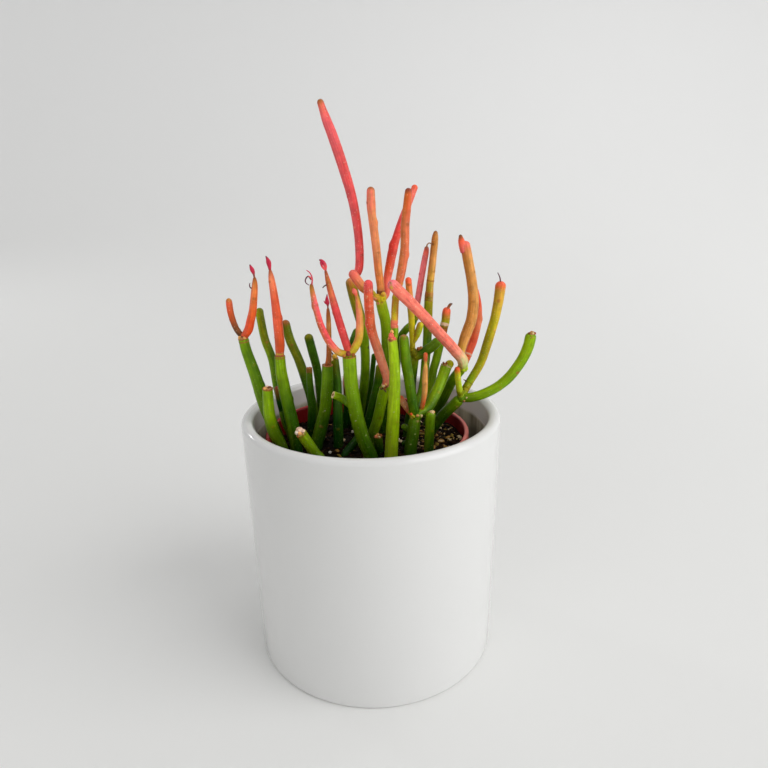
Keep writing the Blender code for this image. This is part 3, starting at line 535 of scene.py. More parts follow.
# Length, width and height of a crumb as shares of its size, how far round to each side it
# lies, and how near the middle
crumbShapes = {
    "chip": {"flat": (1.0, 0.55, 0.28), "side": math.pi, "inner": 0.0},
    "shred": {"flat": (1.0, 0.26, 0.14), "side": 0.9, "inner": 0.15},
    "fibre": {"flat": (1.0, 0.07, 0.07), "side": math.pi, "inner": 0.0},
    "perlite": {"flat": (1.0, 0.9, 0.8), "side": math.pi, "inner": 0.0},
}


def mixRadius(z):
    # The soil fills the nursery pot's tapering inside
    n = nurseryPot
    low = n["base"] - n["wall"]
    share = (z - n["bottom"]) / (n["top"] - n["rimHeight"] - n["bottom"])
    return low + share * (n["throat"] - low) - mix["clearance"]


def mixHeight(x, y):
    away = Vector((x - nurseryPot["centre"][0], y, 0))
    large, small = mix["lumps"]
    lump = noise.noise(Vector((x, y, 3.0)) / large) + 0.5 * noise.noise(Vector((x, y, 9.0)) / small)
    bank = mix["bank"] * between(0.0, (x - mix["bankFrom"]) / mix["bankWidth"], 1.0) ** 2
    return mix["top"] + bank + mix["heap"] * lump - mix["sag"] * (away.length / mix["sagRadius"]) ** 4


def makeSoil():
    edge, step = mixRadius(mix["top"]), mix["ringStep"]
    profile = [(step * k, mix["top"]) for k in range(int((edge - 1) / step) + 1)]
    profile += [(edge, mix["top"]), (mixRadius(mix["bottom"]), mix["bottom"]), (0.0, mix["bottom"])]
    shape = spunShape(profile, mix["steps"], nurseryPot["centre"])
    for vert in shape.verts:
        if vert.co.z > (mix["top"] - 1) * mm:
            vert.co.z = mixHeight(vert.co.x / mm, vert.co.y / mm) * mm
    pieceFrom("pottingSoil", shape, looseMix("peatMix", "#1c120b", "#080503", False), "potting_mix", "soil")


def scatter(shape, rng, kind, size, tones=None):
    # One crumb, chip or fibre, laid on the soil at a random place
    tone = shape.verts.layers.float_color["crumbColour"]
    form = crumbShapes[kind]
    reach = mixRadius(mix["top"]) - 1.5
    away = reach * math.sqrt(rng.uniform(form["inner"], 1))
    turn = rng.uniform(-form["side"], form["side"])
    x, y = nurseryPot["centre"][0] + away * math.cos(turn), away * math.sin(turn)
    lie = Matrix.Rotation(rng.uniform(0, math.tau), 4, "Z") @ Matrix.Rotation(rng.gauss(0, 0.5), 4, "X")
    spans = [size * share * rng.uniform(0.75, 1.25) * 0.5 * mm for share in form["flat"]]
    z = mixHeight(x, y) + size * form["flat"][2] * rng.uniform(0.0, 0.5)
    place = Matrix.Translation(Vector((x, y, z)) * mm)
    # painted light and shade: pale chips lie mostly on the lit right side
    pale = rng.random() < mix["paleShare"][0 if x > mix["litSoilSide"] else 1]
    tones = tones or (mix["paleTones"] if pale else mix["darkTones"])
    dot = linear(rng.choice(tones))
    made = bmesh.ops.create_icosphere(shape, subdivisions=1, radius=1.0,
                                      matrix=place @ lie @ Matrix.Diagonal((*spans, 1.0)))["verts"]
    for vert in made:
        vert.co += noise.noise_vector(vert.co * 900) * size * form["flat"][1] * 0.16 * mm
        vert[tone] = dot


def crumbShape():
    shape = bmesh.new()
    shape.verts.layers.float_color.new("crumbColour")
    return shape


def makeCrumbs():
    rng = random.Random(mix["seed"])
    noise.seed_set(mix["seed"])  # otherwise noise_vector starts from the clock
    bark = crumbShape()
    for kind in ("chip", "shred", "fibre"):
        for k in range(mix[kind + "s"]):
            scatter(bark, rng, kind, rng.uniform(*mix[kind + "Size"]))
    pieceFrom("barkChips", bark, looseMix("barkFines", "#fff4e6", "#8d7a68", True), "potting_mix")
    stone = crumbShape()
    for k in range(mix["perlite"]):
        scatter(stone, rng, "perlite", rng.uniform(*mix["perliteSize"]), mix["perliteTones"])
    pieceFrom("perliteCrumbs", stone, looseMix("expandedPerlite", "#ffffff", "#cfc8bc", True), "potting_mix")


makeSoil()
makeCrumbs()
print("soil, chips and crumbs made")


# Stems and growth. A run is a list of stations (x, y, z, thickness, tone) from bottom to
# top, and a station without a tone has that of the one below it. Marks are (kind, height,
# side in degrees from the front, tone), side 90 is right.
tubeLook = {
    "sides": 28,
    "pointStep": 0.5,
    "headingReach": 0.7,
    "step": 0.75,
    "fineStep": 0.25,  # between the rings across a mark
    "leastStep": 0.2,
    "wander": 0.022,  # wide and narrow bulges, as a share of the radius
    "wanderSize": (5, 1.6),
    "waver": 0.10,  # lighter and darker patches
    "waverSize": 3.2,
    "streakStretch": 0.12,
    "rootDepth": 13.0,
    "rootLean": 0.25,  # share of its lean that a stem keeps under the soil
    "neckRoot": 1.5,  # how deep a growth's neck is sunk in its stem
    "neckOverlap": (0.2, 0.8),  # how far the neck and the growth run into one another
    "firstScar": (3, 9),
    "scarRoom": 3,
    "scarEvery": (8.0, 14.0),
    "scarTurn": 137.5,  # each leaf stands this many degrees round from the one before
    "tipLength": 3.2,
    "footShade": (112.0, 140.0, 0.5),  # painted shade: the skin is painted darker near the soil, down in the plant's own shadow
    # painted shade: the flanks that face left and right are painted darker
    "flankShade": 0.16,
}
# Length and width of a mark, how far it stands out, how deep its middle is sunk, and how
# much of the skin's colour it covers; one without a width runs all round
markStyles = {
    "scar": {"long": 0.75, "wide": 1.0, "high": 0.22, "dent": 0.12, "cover": 0.5},
    "faint": {"long": 0.55, "wide": 0.75, "high": 0.12, "dent": 0.05, "cover": 0.18},
    "spot": {"long": 1.0, "wide": 1.0, "high": 0.0, "dent": 0.0, "cover": 0.85},
    "dot": {"long": 0.42, "wide": 0.34, "high": 0.08, "dent": 0.0, "cover": 0.6},
    "line": {"long": 0.4, "wide": None, "high": 0.10, "dent": 0.0, "cover": 0.75},
    "patch": {"long": 4.0, "wide": 2.0, "high": 0.0, "dent": 0.0, "cover": 0.7},
    "bump": {"long": 1.9, "wide": 2.0, "high": 0.42, "dent": 0.0, "cover": 0.15},
    "ring": {"long": 0.8, "wide": None, "high": 0.16, "dent": 0.0, "cover": 0.8},
    "collar": {"long": 1.7, "wide": None, "high": 0.10, "dent": 0.0, "cover": 0.75},
}


def catmullRom(a, b, c, d, t):
    return 0.5 * (2 * b + (c - a) * t + (2 * a - 5 * b + 4 * c - d) * t ** 2
                  + (3 * b - a - 3 * c + d) * t ** 3)


def toneOf(name):
    return Vector(linear(palette[name])[:3])


def pathOf(run):
    # A smooth curve through a run: close points with their tones and distances
    knots = [Vector((*station[:3], station[3] / 2)) for station in run]
    tones = []
    for station in run:
        tones.append(toneOf(station[4]) if len(station) > 4 else tones[-1])
    knots = [2 * knots[0] - knots[1], *knots, 2 * knots[-1] - knots[-2]]
    points, tints = [], []
    for i in range(len(tones) - 1):
        count = math.ceil((knots[i + 2] - knots[i + 1]).xyz.length / tubeLook["pointStep"])
        for k in range(count):
            points.append(catmullRom(*knots[i:i + 4], k / count))
            tints.append(tones[i].lerp(tones[i + 1], k / count))
    points.append(knots[-2])
    tints.append(tones[-1])
    distances = [0.0]
    for a, b in zip(points, points[1:]):
        distances.append(distances[-1] + (b - a).xyz.length)
    return points, tints, distances


def stationAt(path, s):
    # Centre with radius, and tone, at a distance along the path
    points, tints, distances = path
    i = bisect.bisect_left(distances, s, 1, len(points) - 1)
    share = (s - distances[i - 1]) / (distances[i] - distances[i - 1])
    return points[i - 1].lerp(points[i], share), tints[i - 1].lerp(tints[i], between(0.0, share, 1.0))


def axesAt(path, s):
    # The way the path runs there, the way to its front and the way across
    reach = tubeLook["headingReach"]
    heading = (stationAt(path, s + reach)[0] - stationAt(path, s - reach)[0]).xyz.normalized()
    front = (Vector((0, -1, 0)) + heading * heading.y).normalized()
    return heading, front, heading.cross(front)


def distanceAt(path, height):
    # How far along the path it first passes a height
    points, tints, distances = path
    for a, b, s in zip(points, points[1:], distances):
        if min(a.z, b.z) <= height <= max(a.z, b.z):
            return s
    return distances[-1] if height > points[-1].z else 0.0


def marksOf(tube, path, rng):
    # Explicit marks first, then faint leaf scars in the plant's own spiral
    marks = []
    for kind, height, side, tone in tube.get("marks", []):
        marks.append((distanceAt(path, height), math.radians(side), markStyles[kind], toneOf(tone)))
    s, turn = rng.uniform(*tubeLook["firstScar"]), rng.uniform(0, math.tau)
    while s < path[2][-1] - tubeLook["scarRoom"]:
        if all(abs(s - other[0]) > tubeLook["scarRoom"] for other in marks):
            marks.append((s, turn, markStyles["faint"], toneOf("cork")))
        s += rng.uniform(*tubeLook["scarEvery"])
        turn += math.radians(tubeLook["scarTurn"])
    return marks


def ringsOf(start, end, radius, style, marks):
    # (distance, share of the radius, zone) from a closed foot to a closed end; the zones
    # are 0 skin, 1 the border of a cut, 2 its face, 3 its heart
    last = end - radius if style == "round" else end - 0.3
    count = max(2, round((last - start) / tubeLook["step"]))
    places = [start + (last - start) * i / count for i in range(count + 1)]
    for s, side, mark, tone in marks:
        reach = min(mark["long"] * 1.6, 2.0)
        steps = round(2 * reach / tubeLook["fineStep"])
        places += [s - reach + 2 * reach * i / steps for i in range(steps + 1)]
    places = sorted(p for p in places if start <= p <= last)
    thinned = [places[0]]
    for p in places[1:]:
        if p - thinned[-1] > tubeLook["leastStep"]:
            thinned.append(p)
    rings = [(start, 0.0, 0)] + [(p, 1.0, 0) for p in thinned]
    if style == "round":
        for k in range(1, 8):
            bend = math.radians(90 * k / 7)
            rings.append((last + radius * math.sin(bend), math.cos(bend) if k < 7 else 0.0, 0))
    else:
        rings += [(end - 0.12, 1.0, 1), (end, 0.93, 1), (end - 0.02, 0.76, 2), (end - 0.15, 0.5, 2),
                  (end - 0.25, 0.28, 3), (end - 0.26, 0.0, 3)]
    return rings


def skinLayers(shape):
    return shape.verts.layers.float_color["skinColour"], shape.verts.layers.float_vector["skinGrain"]


def tubeInto(shape, tube, start=0.0, end=None, style="round", puff=0.0):
    # Rolls a grid into a closed tube along the run and paints its skin
    path = pathOf(tube["run"])
    length = path[2][-1]
    end = length if end is None else end
    rng = random.Random(tube["run"][0][0] * 7 + tube["run"][-1][2])
    seed = Vector((rng.uniform(-90, 90), rng.uniform(-90, 90), rng.uniform(-90, 90)))
    marks = marksOf(tube, path, rng)
    rings = ringsOf(start, end, stationAt(path, end)[0].w, style, marks)
    sides = tubeLook["sides"]
    colour, grain = skinLayers(shape)
    grid = bmesh.ops.create_grid(shape, x_segments=sides, y_segments=len(rings) - 1, size=0.5)["verts"]
    rows = [[] for ring in rings]
    for vert in grid:
        rows[round((vert.co.y + 0.5) * (len(rings) - 1))].append((round((vert.co.x + 0.5) * sides), vert))
    tints = [(way, toneOf(tube[name][0]), tube[name][1]) for way, name in ((-1, "left"), (1, "right"))
             if name in tube]
    foot, knee, footDarkest = tubeLook["footShade"]
    wide, narrow = tubeLook["wanderSize"]
    for (s, share, zone), row in zip(rings, rows):
        point, tone = stationAt(path, s)
        # painted shade: the skin darkens towards the soil
        shade = footDarkest + (1 - footDarkest) * between(0.0, (point.z - foot) / (knee - foot), 1.0)
        heading, front, across = axesAt(path, s)
        radius = point.w + puff
        near = [mark for mark in marks if abs(s - mark[0]) < mark[2]["long"] * 2.2]
        for k, vert in row:
            turn = math.tau * (k % sides) / sides
            width = radius * max(share, 0.3)
            straight = Vector((math.cos(turn) * width, math.sin(turn) * width, s))
            own = straight + seed
            lift = radius * tubeLook["wander"] * (noise.noise(own / wide) + 0.5 * noise.noise(own / narrow))
            ragged = noise.noise(own * 1.1)
            paint = tone * (1 + tubeLook["waver"] * noise.noise(own / tubeLook["waverSize"]))
            # the side tints: partly the skin's own blush, partly painted light and shade on a lit and a
            # shaded side
            for way, tint, strength in tints:
                aside = way * math.sin(turn) + 0.1
                if aside > 0:
                    weight = strength * min(1.0, (aside + 0.3 * ragged) * 1.2)
                    paint = paint.lerp(tint, max(0.0, weight))
            if "streak" in tube:
                run = noise.noise(Vector((own.x, own.y, own.z * tubeLook["streakStretch"])) * 1.3)
                paint = paint.lerp(toneOf(tube["streak"][0]),
                                   tube["streak"][1] * between(0.0, 0.4 + run * 2, 1.0))
            if "tip" in tube and style == "round":
                reach = tube.get("tipLength", tubeLook["tipLength"])
                weight = (s - (length - reach) + 0.8 * ragged) / reach * 1.3
                paint = paint.lerp(toneOf(tube["tip"]), between(0.0, weight, 1.0))
            for place, side, mark, dot in near:
                along = (s - place) / mark["long"]
                gap = (turn - side + math.pi) % math.tau - math.pi
                around = gap * radius / mark["wide"] if mark["wide"] else 0.0
                away = along * along + around * around
                lift += mark["high"] * math.exp(-away * 1.4) - mark["dent"] * math.exp(-away * 9)
                paint = paint.lerp(dot, mark["cover"] * between(0.0, 1.7 - 1.5 * away + 0.9 * ragged, 1.0))
            centre = point.xyz
            if zone:
                part, usual = (("border", "brown"), ("face", "cork"), ("heart", "cork"))[zone - 1]
                paint = toneOf(tube.get(part, usual)) * (1 + 0.5 * ragged)
                centre = centre + heading * 0.5 * ragged
            out = front * math.cos(turn) + across * math.sin(turn)
            vert.co = (centre + out * (radius + lift) * share) * mm
            # painted shade on the flanks that face left and right
            flankShading = 1 - tubeLook["flankShade"] * out.x ** 4
            vert[colour] = (*(paint * shade * flankShading), 1.0)
            vert[grain] = own * mm
    bmesh.ops.remove_doubles(shape, verts=grid, dist=1e-7)


def useMaterial(verts, index):
    for face in {face for vert in verts for face in vert.link_faces}:
        face.material_index = index


def lumpInto(shape, centre, size, tone):
    # A callus: corky tissue swollen round a joint
    colour, grain = skinLayers(shape)
    middle = Vector(centre)
    made = bmesh.ops.create_icosphere(shape, subdivisions=3, radius=size / 2 * mm,
                                      matrix=Matrix.Translation(middle * mm))["verts"]
    for vert in made:
        at = vert.co / mm
        rough = noise.noise(at * 1.3)
        vert.co += (at - middle).normalized() * rough * size * 0.12 * mm
        vert[colour] = (*(toneOf(tone) * (1 + 0.35 * rough)), 1.0)
        vert[grain] = vert.co


def bladeInto(shape, run, flat=1.0):
    # A small leaf or a dried thread: a thin rolled blade, flattened from front to back
    path = pathOf(run)
    colour, grain = skinLayers(shape)
    count, sides = max(6, round(path[2][-1] / 0.4)), 8
    grid = bmesh.ops.create_grid(shape, x_segments=sides, y_segments=count + 2, size=0.5)["verts"]
    for vert in grid:
        k, ring = round((vert.co.x + 0.5) * sides), round((vert.co.y + 0.5) * (count + 2)) - 1
        s = path[2][-1] * between(0, ring, count) / count
        point, tone = stationAt(path, s)
        heading, front, across = axesAt(path, s)
        turn = math.tau * (k % sides) / sides
        radius = 0.0 if ring < 0 or ring > count else point.w
        vert.co = (point.xyz + (front * math.cos(turn) * flat + across * math.sin(turn)) * radius) * mm
        vert[colour] = (*(tone * (1 + 0.25 * noise.noise(vert.co * 1500))), 1.0)
        vert[grain] = vert.co
    useMaterial(grid, 1)
    bmesh.ops.remove_doubles(shape, verts=grid, dist=1e-7)


def threadInto(shape, points, tone, thickness=0.75):
    # A dried leaf that has shrunk to a thread
    last = len(points) - 1
    bladeInto(shape, [(*point, thickness * (1 - 0.5 * i / last), tone) for i, point in enumerate(points)])


def plantedRun(run):
    # Adds the straight foot that stands in the soil
    a, b = Vector(run[0][:3]), Vector(run[1][:3])
    lean = (b - a).normalized()
    lean = Vector((lean.x * tubeLook["rootLean"], lean.y * tubeLook["rootLean"], lean.z)).normalized()
    return [(*(a - lean * tubeLook["rootDepth"]), run[0][3], run[0][4]), *run]


def pieceName(node):
    first, *others = node.split("_")
    return first + "".join(word.title() for word in others)


def endOf(tube):
    return "cut" if tube.get("cut") else "round"


def newSkinShape():
    shape = bmesh.new()
    shape.verts.layers.float_color.new("skinColour")
    shape.verts.layers.float_vector.new("skinGrain")
    return shape


def finishSkin(shape, tube, slot):
    # Dry threads last, and then the piece with its two materials
    for points, tone in tube.get("threads", []):
        threadInto(shape, points, tone)
    piece = pieceFrom(pieceName(tube["name"]), shape, skinOf[slot], slot, tube["name"])
    piece.data.materials.append(leafSkin)


def growCutting(cutting):
    neckOver, growthOver = tubeLook["neckOverlap"]
    shape = newSkinShape()
    tubeInto(shape, dict(cutting, run=plantedRun(cutting["run"])), style=endOf(cutting))
    for branch in cutting.get("branches", []):
        tubeInto(shape, branch, style=endOf(branch))
    for x, y, z, size, tone in cutting.get("joints", []):
        lumpInto(shape, (x, y, z), size, tone)
    for growth in cutting.get("growths", []):
        tubeInto(shape, growth, start=-tubeLook["neckRoot"], end=growth["neck"] + neckOver, style="cut",
                 puff=-0.03)
    finishSkin(shape, cutting, cutting.get("slot", "stem_green"))
    for growth in cutting.get("growths", []):
        shape = newSkinShape()
        tubeInto(shape, growth, start=growth["neck"] - growthOver)
        for shoot in growth.get("shoots", []):
            tubeInto(shape, shoot)
        for leaf in growth.get("leaves", []):
            bladeInto(shape, leaf, 0.5)
        finishSkin(shape, growth, growth["slot"])


skinOf = {slot: waxySkin("waxy" + pieceName("x_" + slot)[1:], skin) for slot, skin in skins.items()}
leafSkin = leafTissue()

# The cuttings, from left to right as the front shows them. "left" and "right" tint a side of
# the skin by a share, partly the skin's own blush and partly painted light and shade, a lit side
# lighter and a shaded side darker. "streak" draws a tone along it, "tip" colours its end, and
# "border", "face" and "heart" colour a cut. "neck" is the length of a growth that is still one
# with its stem. Joints are calluses (x, y, z, size, tone), and threads are leaves that have dried up.
cuttings = [
    {"name": "left_forked_stem", "cut": True, "face": "cork", "left": ("leafGreen", 0.5),
     "right": ("deep", 0.4),
     "run": [(-46, -5, 111, 5.8, "shade"), (-48.2, -5.5, 120, 5.9, "deep"), (-50.5, -6, 127, 6.0),
         (-53, -7, 136.5, 6.0, "stem"), (-55.5, -8.5, 150.5, 5.7), (-58.5, -9.5, 163, 5.0),
         (-59.5, -10, 169.6, 4.8, "leafGreen")],
     "marks": [("bump", 145.2, 85, "deep"), ("scar", 157, 40, "olive"), ("line", 168.7, 0, "brown")],
     "joints": [(-59.7, -10.0, 169.6, 4.3, "cork"), (-58.6, -11.3, 170.4, 1.9, "tanSkin"),
         (-60.8, -11.0, 170.3, 1.7, "ochre"), (-59.6, -11.9, 170.9, 1.0, "crimsonBark")],
     "growths": [
         {"name": "left_fork_short_growth", "slot": "growth_orange", "neck": 3.2, "tip": "brownOchre",
          "tipLength": 2, "right": ("brown", 0.4),
          "run": [(-59.5, -10, 170, 2.8, "bark"), (-62.5, -9.5, 174.5, 2.8, "umber"),
              (-64.5, -8.5, 181, 3.0, "rust"), (-65, -8, 186.5, 3.0, "coral"),
              (-65, -8, 188.6, 2.0, "rust")],
          "marks": [("faint", 179, -60, "umber")]},
         {"name": "left_fork_tall_growth", "slot": "growth_orange", "neck": 3.2, "left": ("pink", 0.4),
          "right": ("rust", 0.35),
          "run": [(-59.5, -10, 170, 3.4, "rust"), (-56.5, -11, 174, 4.1, "scarlet"),
              (-55, -11.5, 178.5, 3.9), (-53.5, -12, 183.5, 3.6, "orange"),
              (-52, -12, 192.5, 3.0, "tangerine"), (-51.6, -12, 196, 2.4, "brownOchre"),
              (-51.5, -12, 198.6, 1.1, "umber")],
          "marks": [("scar", 189, 20, "brown")],
          "leaves": [[(-51.5, -12, 197.6, 0.9, "umber"), (-51.7, -12, 199.5, 0.9, "crimsonBark"),
              (-51.9, -12, 200.7, 1.6, "crimson"), (-52.3, -12, 201.9, 2.0), (-52.8, -12, 203.2, 1.3),
              (-53.2, -12, 204.3, 0.4, "plum")]],
          "threads": [([(-53, -12.2, 193.3), (-53.8, -12.3, 194), (-54, -12.4, 195), (-53.7, -12.4, 196)],
              "plum")]}]},
    {"name": "left_tall_stem", "cut": True, "face": "cork", "left": ("leafGreen", 0.5),
     "run": [(-38, -9.5, 111, 6.3, "shade"), (-38.5, -10.5, 122.5, 6.3, "deep"), (-40, -11, 133.5, 6.1),
         (-41.5, -11.5, 144, 5.9, "stem"), (-42.5, -12, 154, 5.4, "leafGreen"), (-42.5, -12.5, 161.5, 4.9)],
     "marks": [("bump", 139.3, 80, "bark"), ("scar", 150, -30, "olive"), ("line", 161, 0, "brown")],
     "growths": [
         {"name": "left_tall_growth", "slot": "growth_orange", "neck": 1.2, "left": ("pink", 0.3),
          "right": ("rust", 0.45), "streak": ("rust", 0.25),
          "run": [(-42.5, -12.5, 161.3, 4.2, "brown"), (-42.4, -12.6, 163, 3.9, "cork"),
              (-42.3, -12.7, 163.9, 4.3, "rust"), (-42, -13, 169, 4.6), (-42.3, -13.5, 179, 4.3, "coral"),
              (-42.7, -14, 188, 3.7), (-43.5, -14, 197.5, 2.9, "apricot"), (-43.9, -14, 202, 1.2, "umber")],
          "marks": [("bump", 179.7, 85, "scarlet"), ("faint", 171, -70, "salmon"),
              ("scar", 197, -40, "brown"), ("line", 162.7, 0, "gold")],
          "leaves": [[(-43.9, -14, 201.3, 1.0, "umber"), (-44, -14, 202.6, 1.4, "crimson"),
              (-44.1, -14, 203.9, 1.9), (-44.3, -14, 205.3, 2.3), (-44.7, -14, 206.7, 1.5),
              (-45.4, -14, 208.1, 0.4, "plum")]]}]},
    {"name": "left_olive_stem", "slot": "stem_olive", "left": ("bright", 0.45), "right": ("deep", 0.5),
     "run": [(-42.5, 8, 111, 4.2, "shade"), (-45.5, 9, 121, 4.2), (-47, 10, 131.5, 4.2, "deep"),
         (-48.5, 10.5, 138.5, 4.2), (-50, 11.5, 153, 4.3, "stem"), (-53, 12, 163.5, 4.2, "olive"),
         (-54.5, 12.5, 174, 4.1), (-55, 13, 180, 4.0)],
     "marks": [("scar", 163, 30, "brown")],
     "branches": [
         {"tip": "crimsonBark", "tipLength": 1.4,
          "run": [(-46.9, 9, 126, 2.6, "shade"), (-47.5, 6, 133, 2.6), (-47.9, 5, 140.8, 2.5, "brown")]}],
     "joints": [(-48.3, 10.5, 138.3, 4.5, "deep")]},
    {"name": "left_cut_stub", "cut": True, "border": "crimsonBark", "face": "paleCork", "heart": "tanSkin",
     "left": ("leafGreen", 0.6), "right": ("stem", 0.3),
     "run": [(-43.5, -14.5, 111, 5.8, "deep"), (-45.4, -14.1, 117.5, 5.8, "stem"), (-48, -15, 125, 5.8),
         (-49, -16, 133, 5.7, "leafGreen"), (-49, -16.5, 141, 5.2), (-48.7, -17, 147, 4.9)],
     "marks": [("scar", 128.2, 25, "khaki"), ("faint", 138, -40, "lime"), ("line", 146.7, 0, "brown")],
     "joints": [(-49.7, -17.9, 146.8, 2.2, "tanSkin"), (-47.7, -17.2, 147.1, 1.9, "umber"),
         (-48.6, -18.7, 146.6, 1.3, "cork"), (-48.9, -16.2, 147.2, 1.6, "cutPink")]},
    {"name": "left_back_long_stem", "slot": "stem_olive", "right": ("stem", 0.6), "left": ("stem", 0.35),
     "run": [(-29.5, 13, 111, 4.8, "shade"), (-30.5, 13.5, 119, 4.8), (-31.5, 14, 130, 4.8, "deep"),
         (-34, 15, 141, 4.9), (-37, 16, 151.5, 4.8, "olive"), (-41, 17, 162, 4.7),
         (-43.3, 18, 172.5, 4.5, "darkOlive")],
     "tip": "brown", "tipLength": 4,
     "marks": [("scar", 160, 10, "brown")]},
    {"name": "left_back_short_stem", "slot": "stem_olive", "left": ("stem", 0.5), "tip": "olive",
     "run": [(-27.5, 22, 111, 4.4, "shade"), (-27.3, 21, 121.5, 4.3), (-27.3, 20, 132.5, 4.3, "deep"),
         (-28, 19, 145, 4.5), (-30, 18, 156, 4.7), (-31.7, 17, 165, 4.5)]},
    {"name": "left_thin_cut_stem", "cut": True, "face": "brown",
     "run": [(-31, 3, 111, 4.4, "shade"), (-31, 3, 120, 4.4), (-30.2, 3, 131, 4.1, "deep"),
         (-30.5, 2.5, 139, 3.6), (-30.5, 2, 151, 2.9, "stem")],
     "marks": [("collar", 150.2, 0, "brown")]},
    {"name": "front_leaning_stub", "cut": True, "border": "paleCork", "face": "cutPink",
     "heart": "crimsonBark", "left": ("lime", 0.5), "right": ("leafGreen", 0.5),
     "run": [(-25, -22, 111, 5.3, "stem"), (-27.5, -22.5, 115, 5.3), (-30.5, -23.5, 121, 5.2, "leafGreen"),
         (-33.5, -25, 127, 5.1, "bright")],
     "marks": [("line", 126.4, 0, "brown")],
     "joints": [(-34, -25, 128, 3.6, "cutPink"), (-35.1, -26.3, 127.4, 2.0, "cream"),
         (-32.5, -25.6, 128, 2.1, "cutPink"), (-33.7, -26.8, 127, 2.0, "tanSkin"),
         (-34.6, -26.9, 125.8, 1.2, "brown"), (-32.4, -26.9, 126.7, 1.2, "cork")]},
    {"name": "middle_left_stem", "cut": True, "face": "cork", "left": ("leafGreen", 0.4),
     "right": ("deep", 0.5),
     "run": [(-28.5, -4.5, 111, 6.6, "shade"), (-26.2, -5, 119, 6.6, "deep"), (-24.5, -5.5, 125.5, 6.3),
         (-23, -6, 131, 6, "stem"), (-21.8, -7, 139.5, 6.0), (-21, -7.5, 147, 5.8), (-20.5, -8, 155, 5.3)],
     "marks": [("scar", 124, -6, "cork"), ("dot", 123.4, 12, "brown"), ("dot", 132.7, 4, "cream"),
         ("dot", 131.6, -8, "paleLime"), ("faint", 143, -40, "olive")],
     "growths": [
         {"name": "middle_left_growth", "slot": "growth_ochre", "neck": 1.6, "left": ("orange", 0.3),
          "run": [(-20.5, -8, 154.5, 2.9, "umber"), (-19.7, -8, 158.5, 2.7, "brown"), (-19.3, -8, 165, 2.5),
              (-19, -8, 175, 2.4, "ochre"), (-19, -8, 180, 1.9, "brown"), (-19, -8, 182.8, 1.1, "umber")],
          "marks": [("faint", 170, 50, "umber")],
          "leaves": [[(-19, -8, 182, 0.9, "umber"), (-19, -8, 183.7, 0.8, "crimsonBark"),
              (-19.1, -8, 185.1, 2.0, "crimson"), (-19.3, -8, 186.7, 1.7), (-19.2, -8, 188.1, 0.9),
              (-19.1, -8, 189.3, 0.3, "plum")]],
          "threads": [([(-19.4, -8.2, 184.7), (-20.2, -8.3, 185.3), (-20.7, -8.3, 186.3)], "crimson")]}]},
    {"name": "middle_left_back_stem", "slot": "stem_olive", "right": ("deep", 0.5),
     "run": [(-17, -6, 111, 5.1, "shade"), (-16.7, -5.5, 125.5, 5), (-16.7, -4, 135.5, 4.8, "deep"),
         (-16.7, -2, 145.5, 4.5), (-17.5, 0, 157, 4, "olive")],
     "marks": [("scar", 121.8, 0, "olive")],
     "joints": [(-17.3, -1.2, 157.4, 2.5, "gold"), (-18.9, -1.8, 156.0, 1.8, "paleCork"),
         (-16.3, -1.6, 156.6, 1.6, "cork")],
     "threads": [([(-18.6, -1.2, 157.4), (-19.8, -1.6, 157.8), (-20.3, -1.7, 156.6)], "bark"),
         ([(-18, -1.4, 158.4), (-18.6, -1.8, 159.6), (-19.6, -1.9, 160)], "bark")]},
    {"name": "front_forked_stem", "cut": True, "face": "khaki", "left": ("leafGreen", 0.5),
     "right": ("stem", 0.3),
     "run": [(-0.5, -21, 111, 6.7, "shade"), (-4, -21.5, 121, 6.7, "deep"), (-6.5, -22, 131.5, 6.6, "stem"),
         (-8, -22.5, 141.5, 6.5), (-9, -23, 151.5, 6.4, "leafGreen"), (-9.3, -23.5, 163, 6.3)],
     "marks": [("dot", 135.5, -55, "cream"), ("dot", 132.8, -9, "cream"), ("dot", 124.1, 36, "paleLime"),
         ("faint", 149.1, 35, "khaki"), ("faint", 140, -30, "lime")],
     "branches": [
         {"cut": True, "face": "paleCork", "heart": "umber", "border": "paleCork",
          "run": [(-7.5, -22.3, 137.5, 3.8, "stem"), (-12, -17.3, 139.5, 3.8),
              (-15, -17, 141.5, 3.7, "leafGreen"), (-18, -18, 143, 3.5, "bright")]}],
     "joints": [(-9.2, -23.4, 162.4, 5.9, "olive"), (-9.6, -24.9, 164.6, 2.6, "crimsonBark"),
         (-7.4, -25.3, 164.2, 1.7, "brown"), (-11.6, -25.2, 163.8, 1.6, "brownOchre")],
     "growths": [
         {"name": "front_fork_left_growth", "slot": "growth_coral", "neck": 4.6, "left": ("gold", 0.35),
          "run": [(-9.2, -23.5, 164, 3.7, "khaki"), (-13.5, -24, 165, 3.3, "gold"),
              (-16, -24.5, 167.5, 3.3, "pink"), (-18.5, -24.5, 171, 3.3, "rose"),
              (-20.5, -24.5, 175.5, 3.1), (-22, -24.5, 180, 3), (-23.7, -24, 188, 2.7, "pinkRose"),
              (-24.6, -24, 194, 2.1, "brownOchre"), (-24.8, -24, 196.6, 1.3, "umber")],
          "marks": [("bump", 187.1, -80, "rust"), ("faint", 176, 60, "rose"), ("scar", 187.5, 60, "brown")],
          "threads": [([(-24.6, -24.2, 196), (-24.2, -24.3, 198.3), (-24.4, -24.4, 200),
              (-25.2, -24.4, 201.6), (-26.5, -24.4, 202.6)], "crimson"), ([(-24.6, -24.2, 198.4),
              (-25.8, -24.3, 199.9), (-26.8, -24.4, 199.2), (-27.3, -24.4, 198), (-26.9, -24.4, 196.9),
              (-25.8, -24.3, 196.1)], "plum"), ([(-25.8, -24.3, 199.9), (-24.6, -24.5, 199.2),
              (-24.2, -24.4, 197.4)], "rose")]},
         {"name": "front_fork_middle_growth", "slot": "growth_red", "neck": 4.6, "left": ("rose", 0.5),
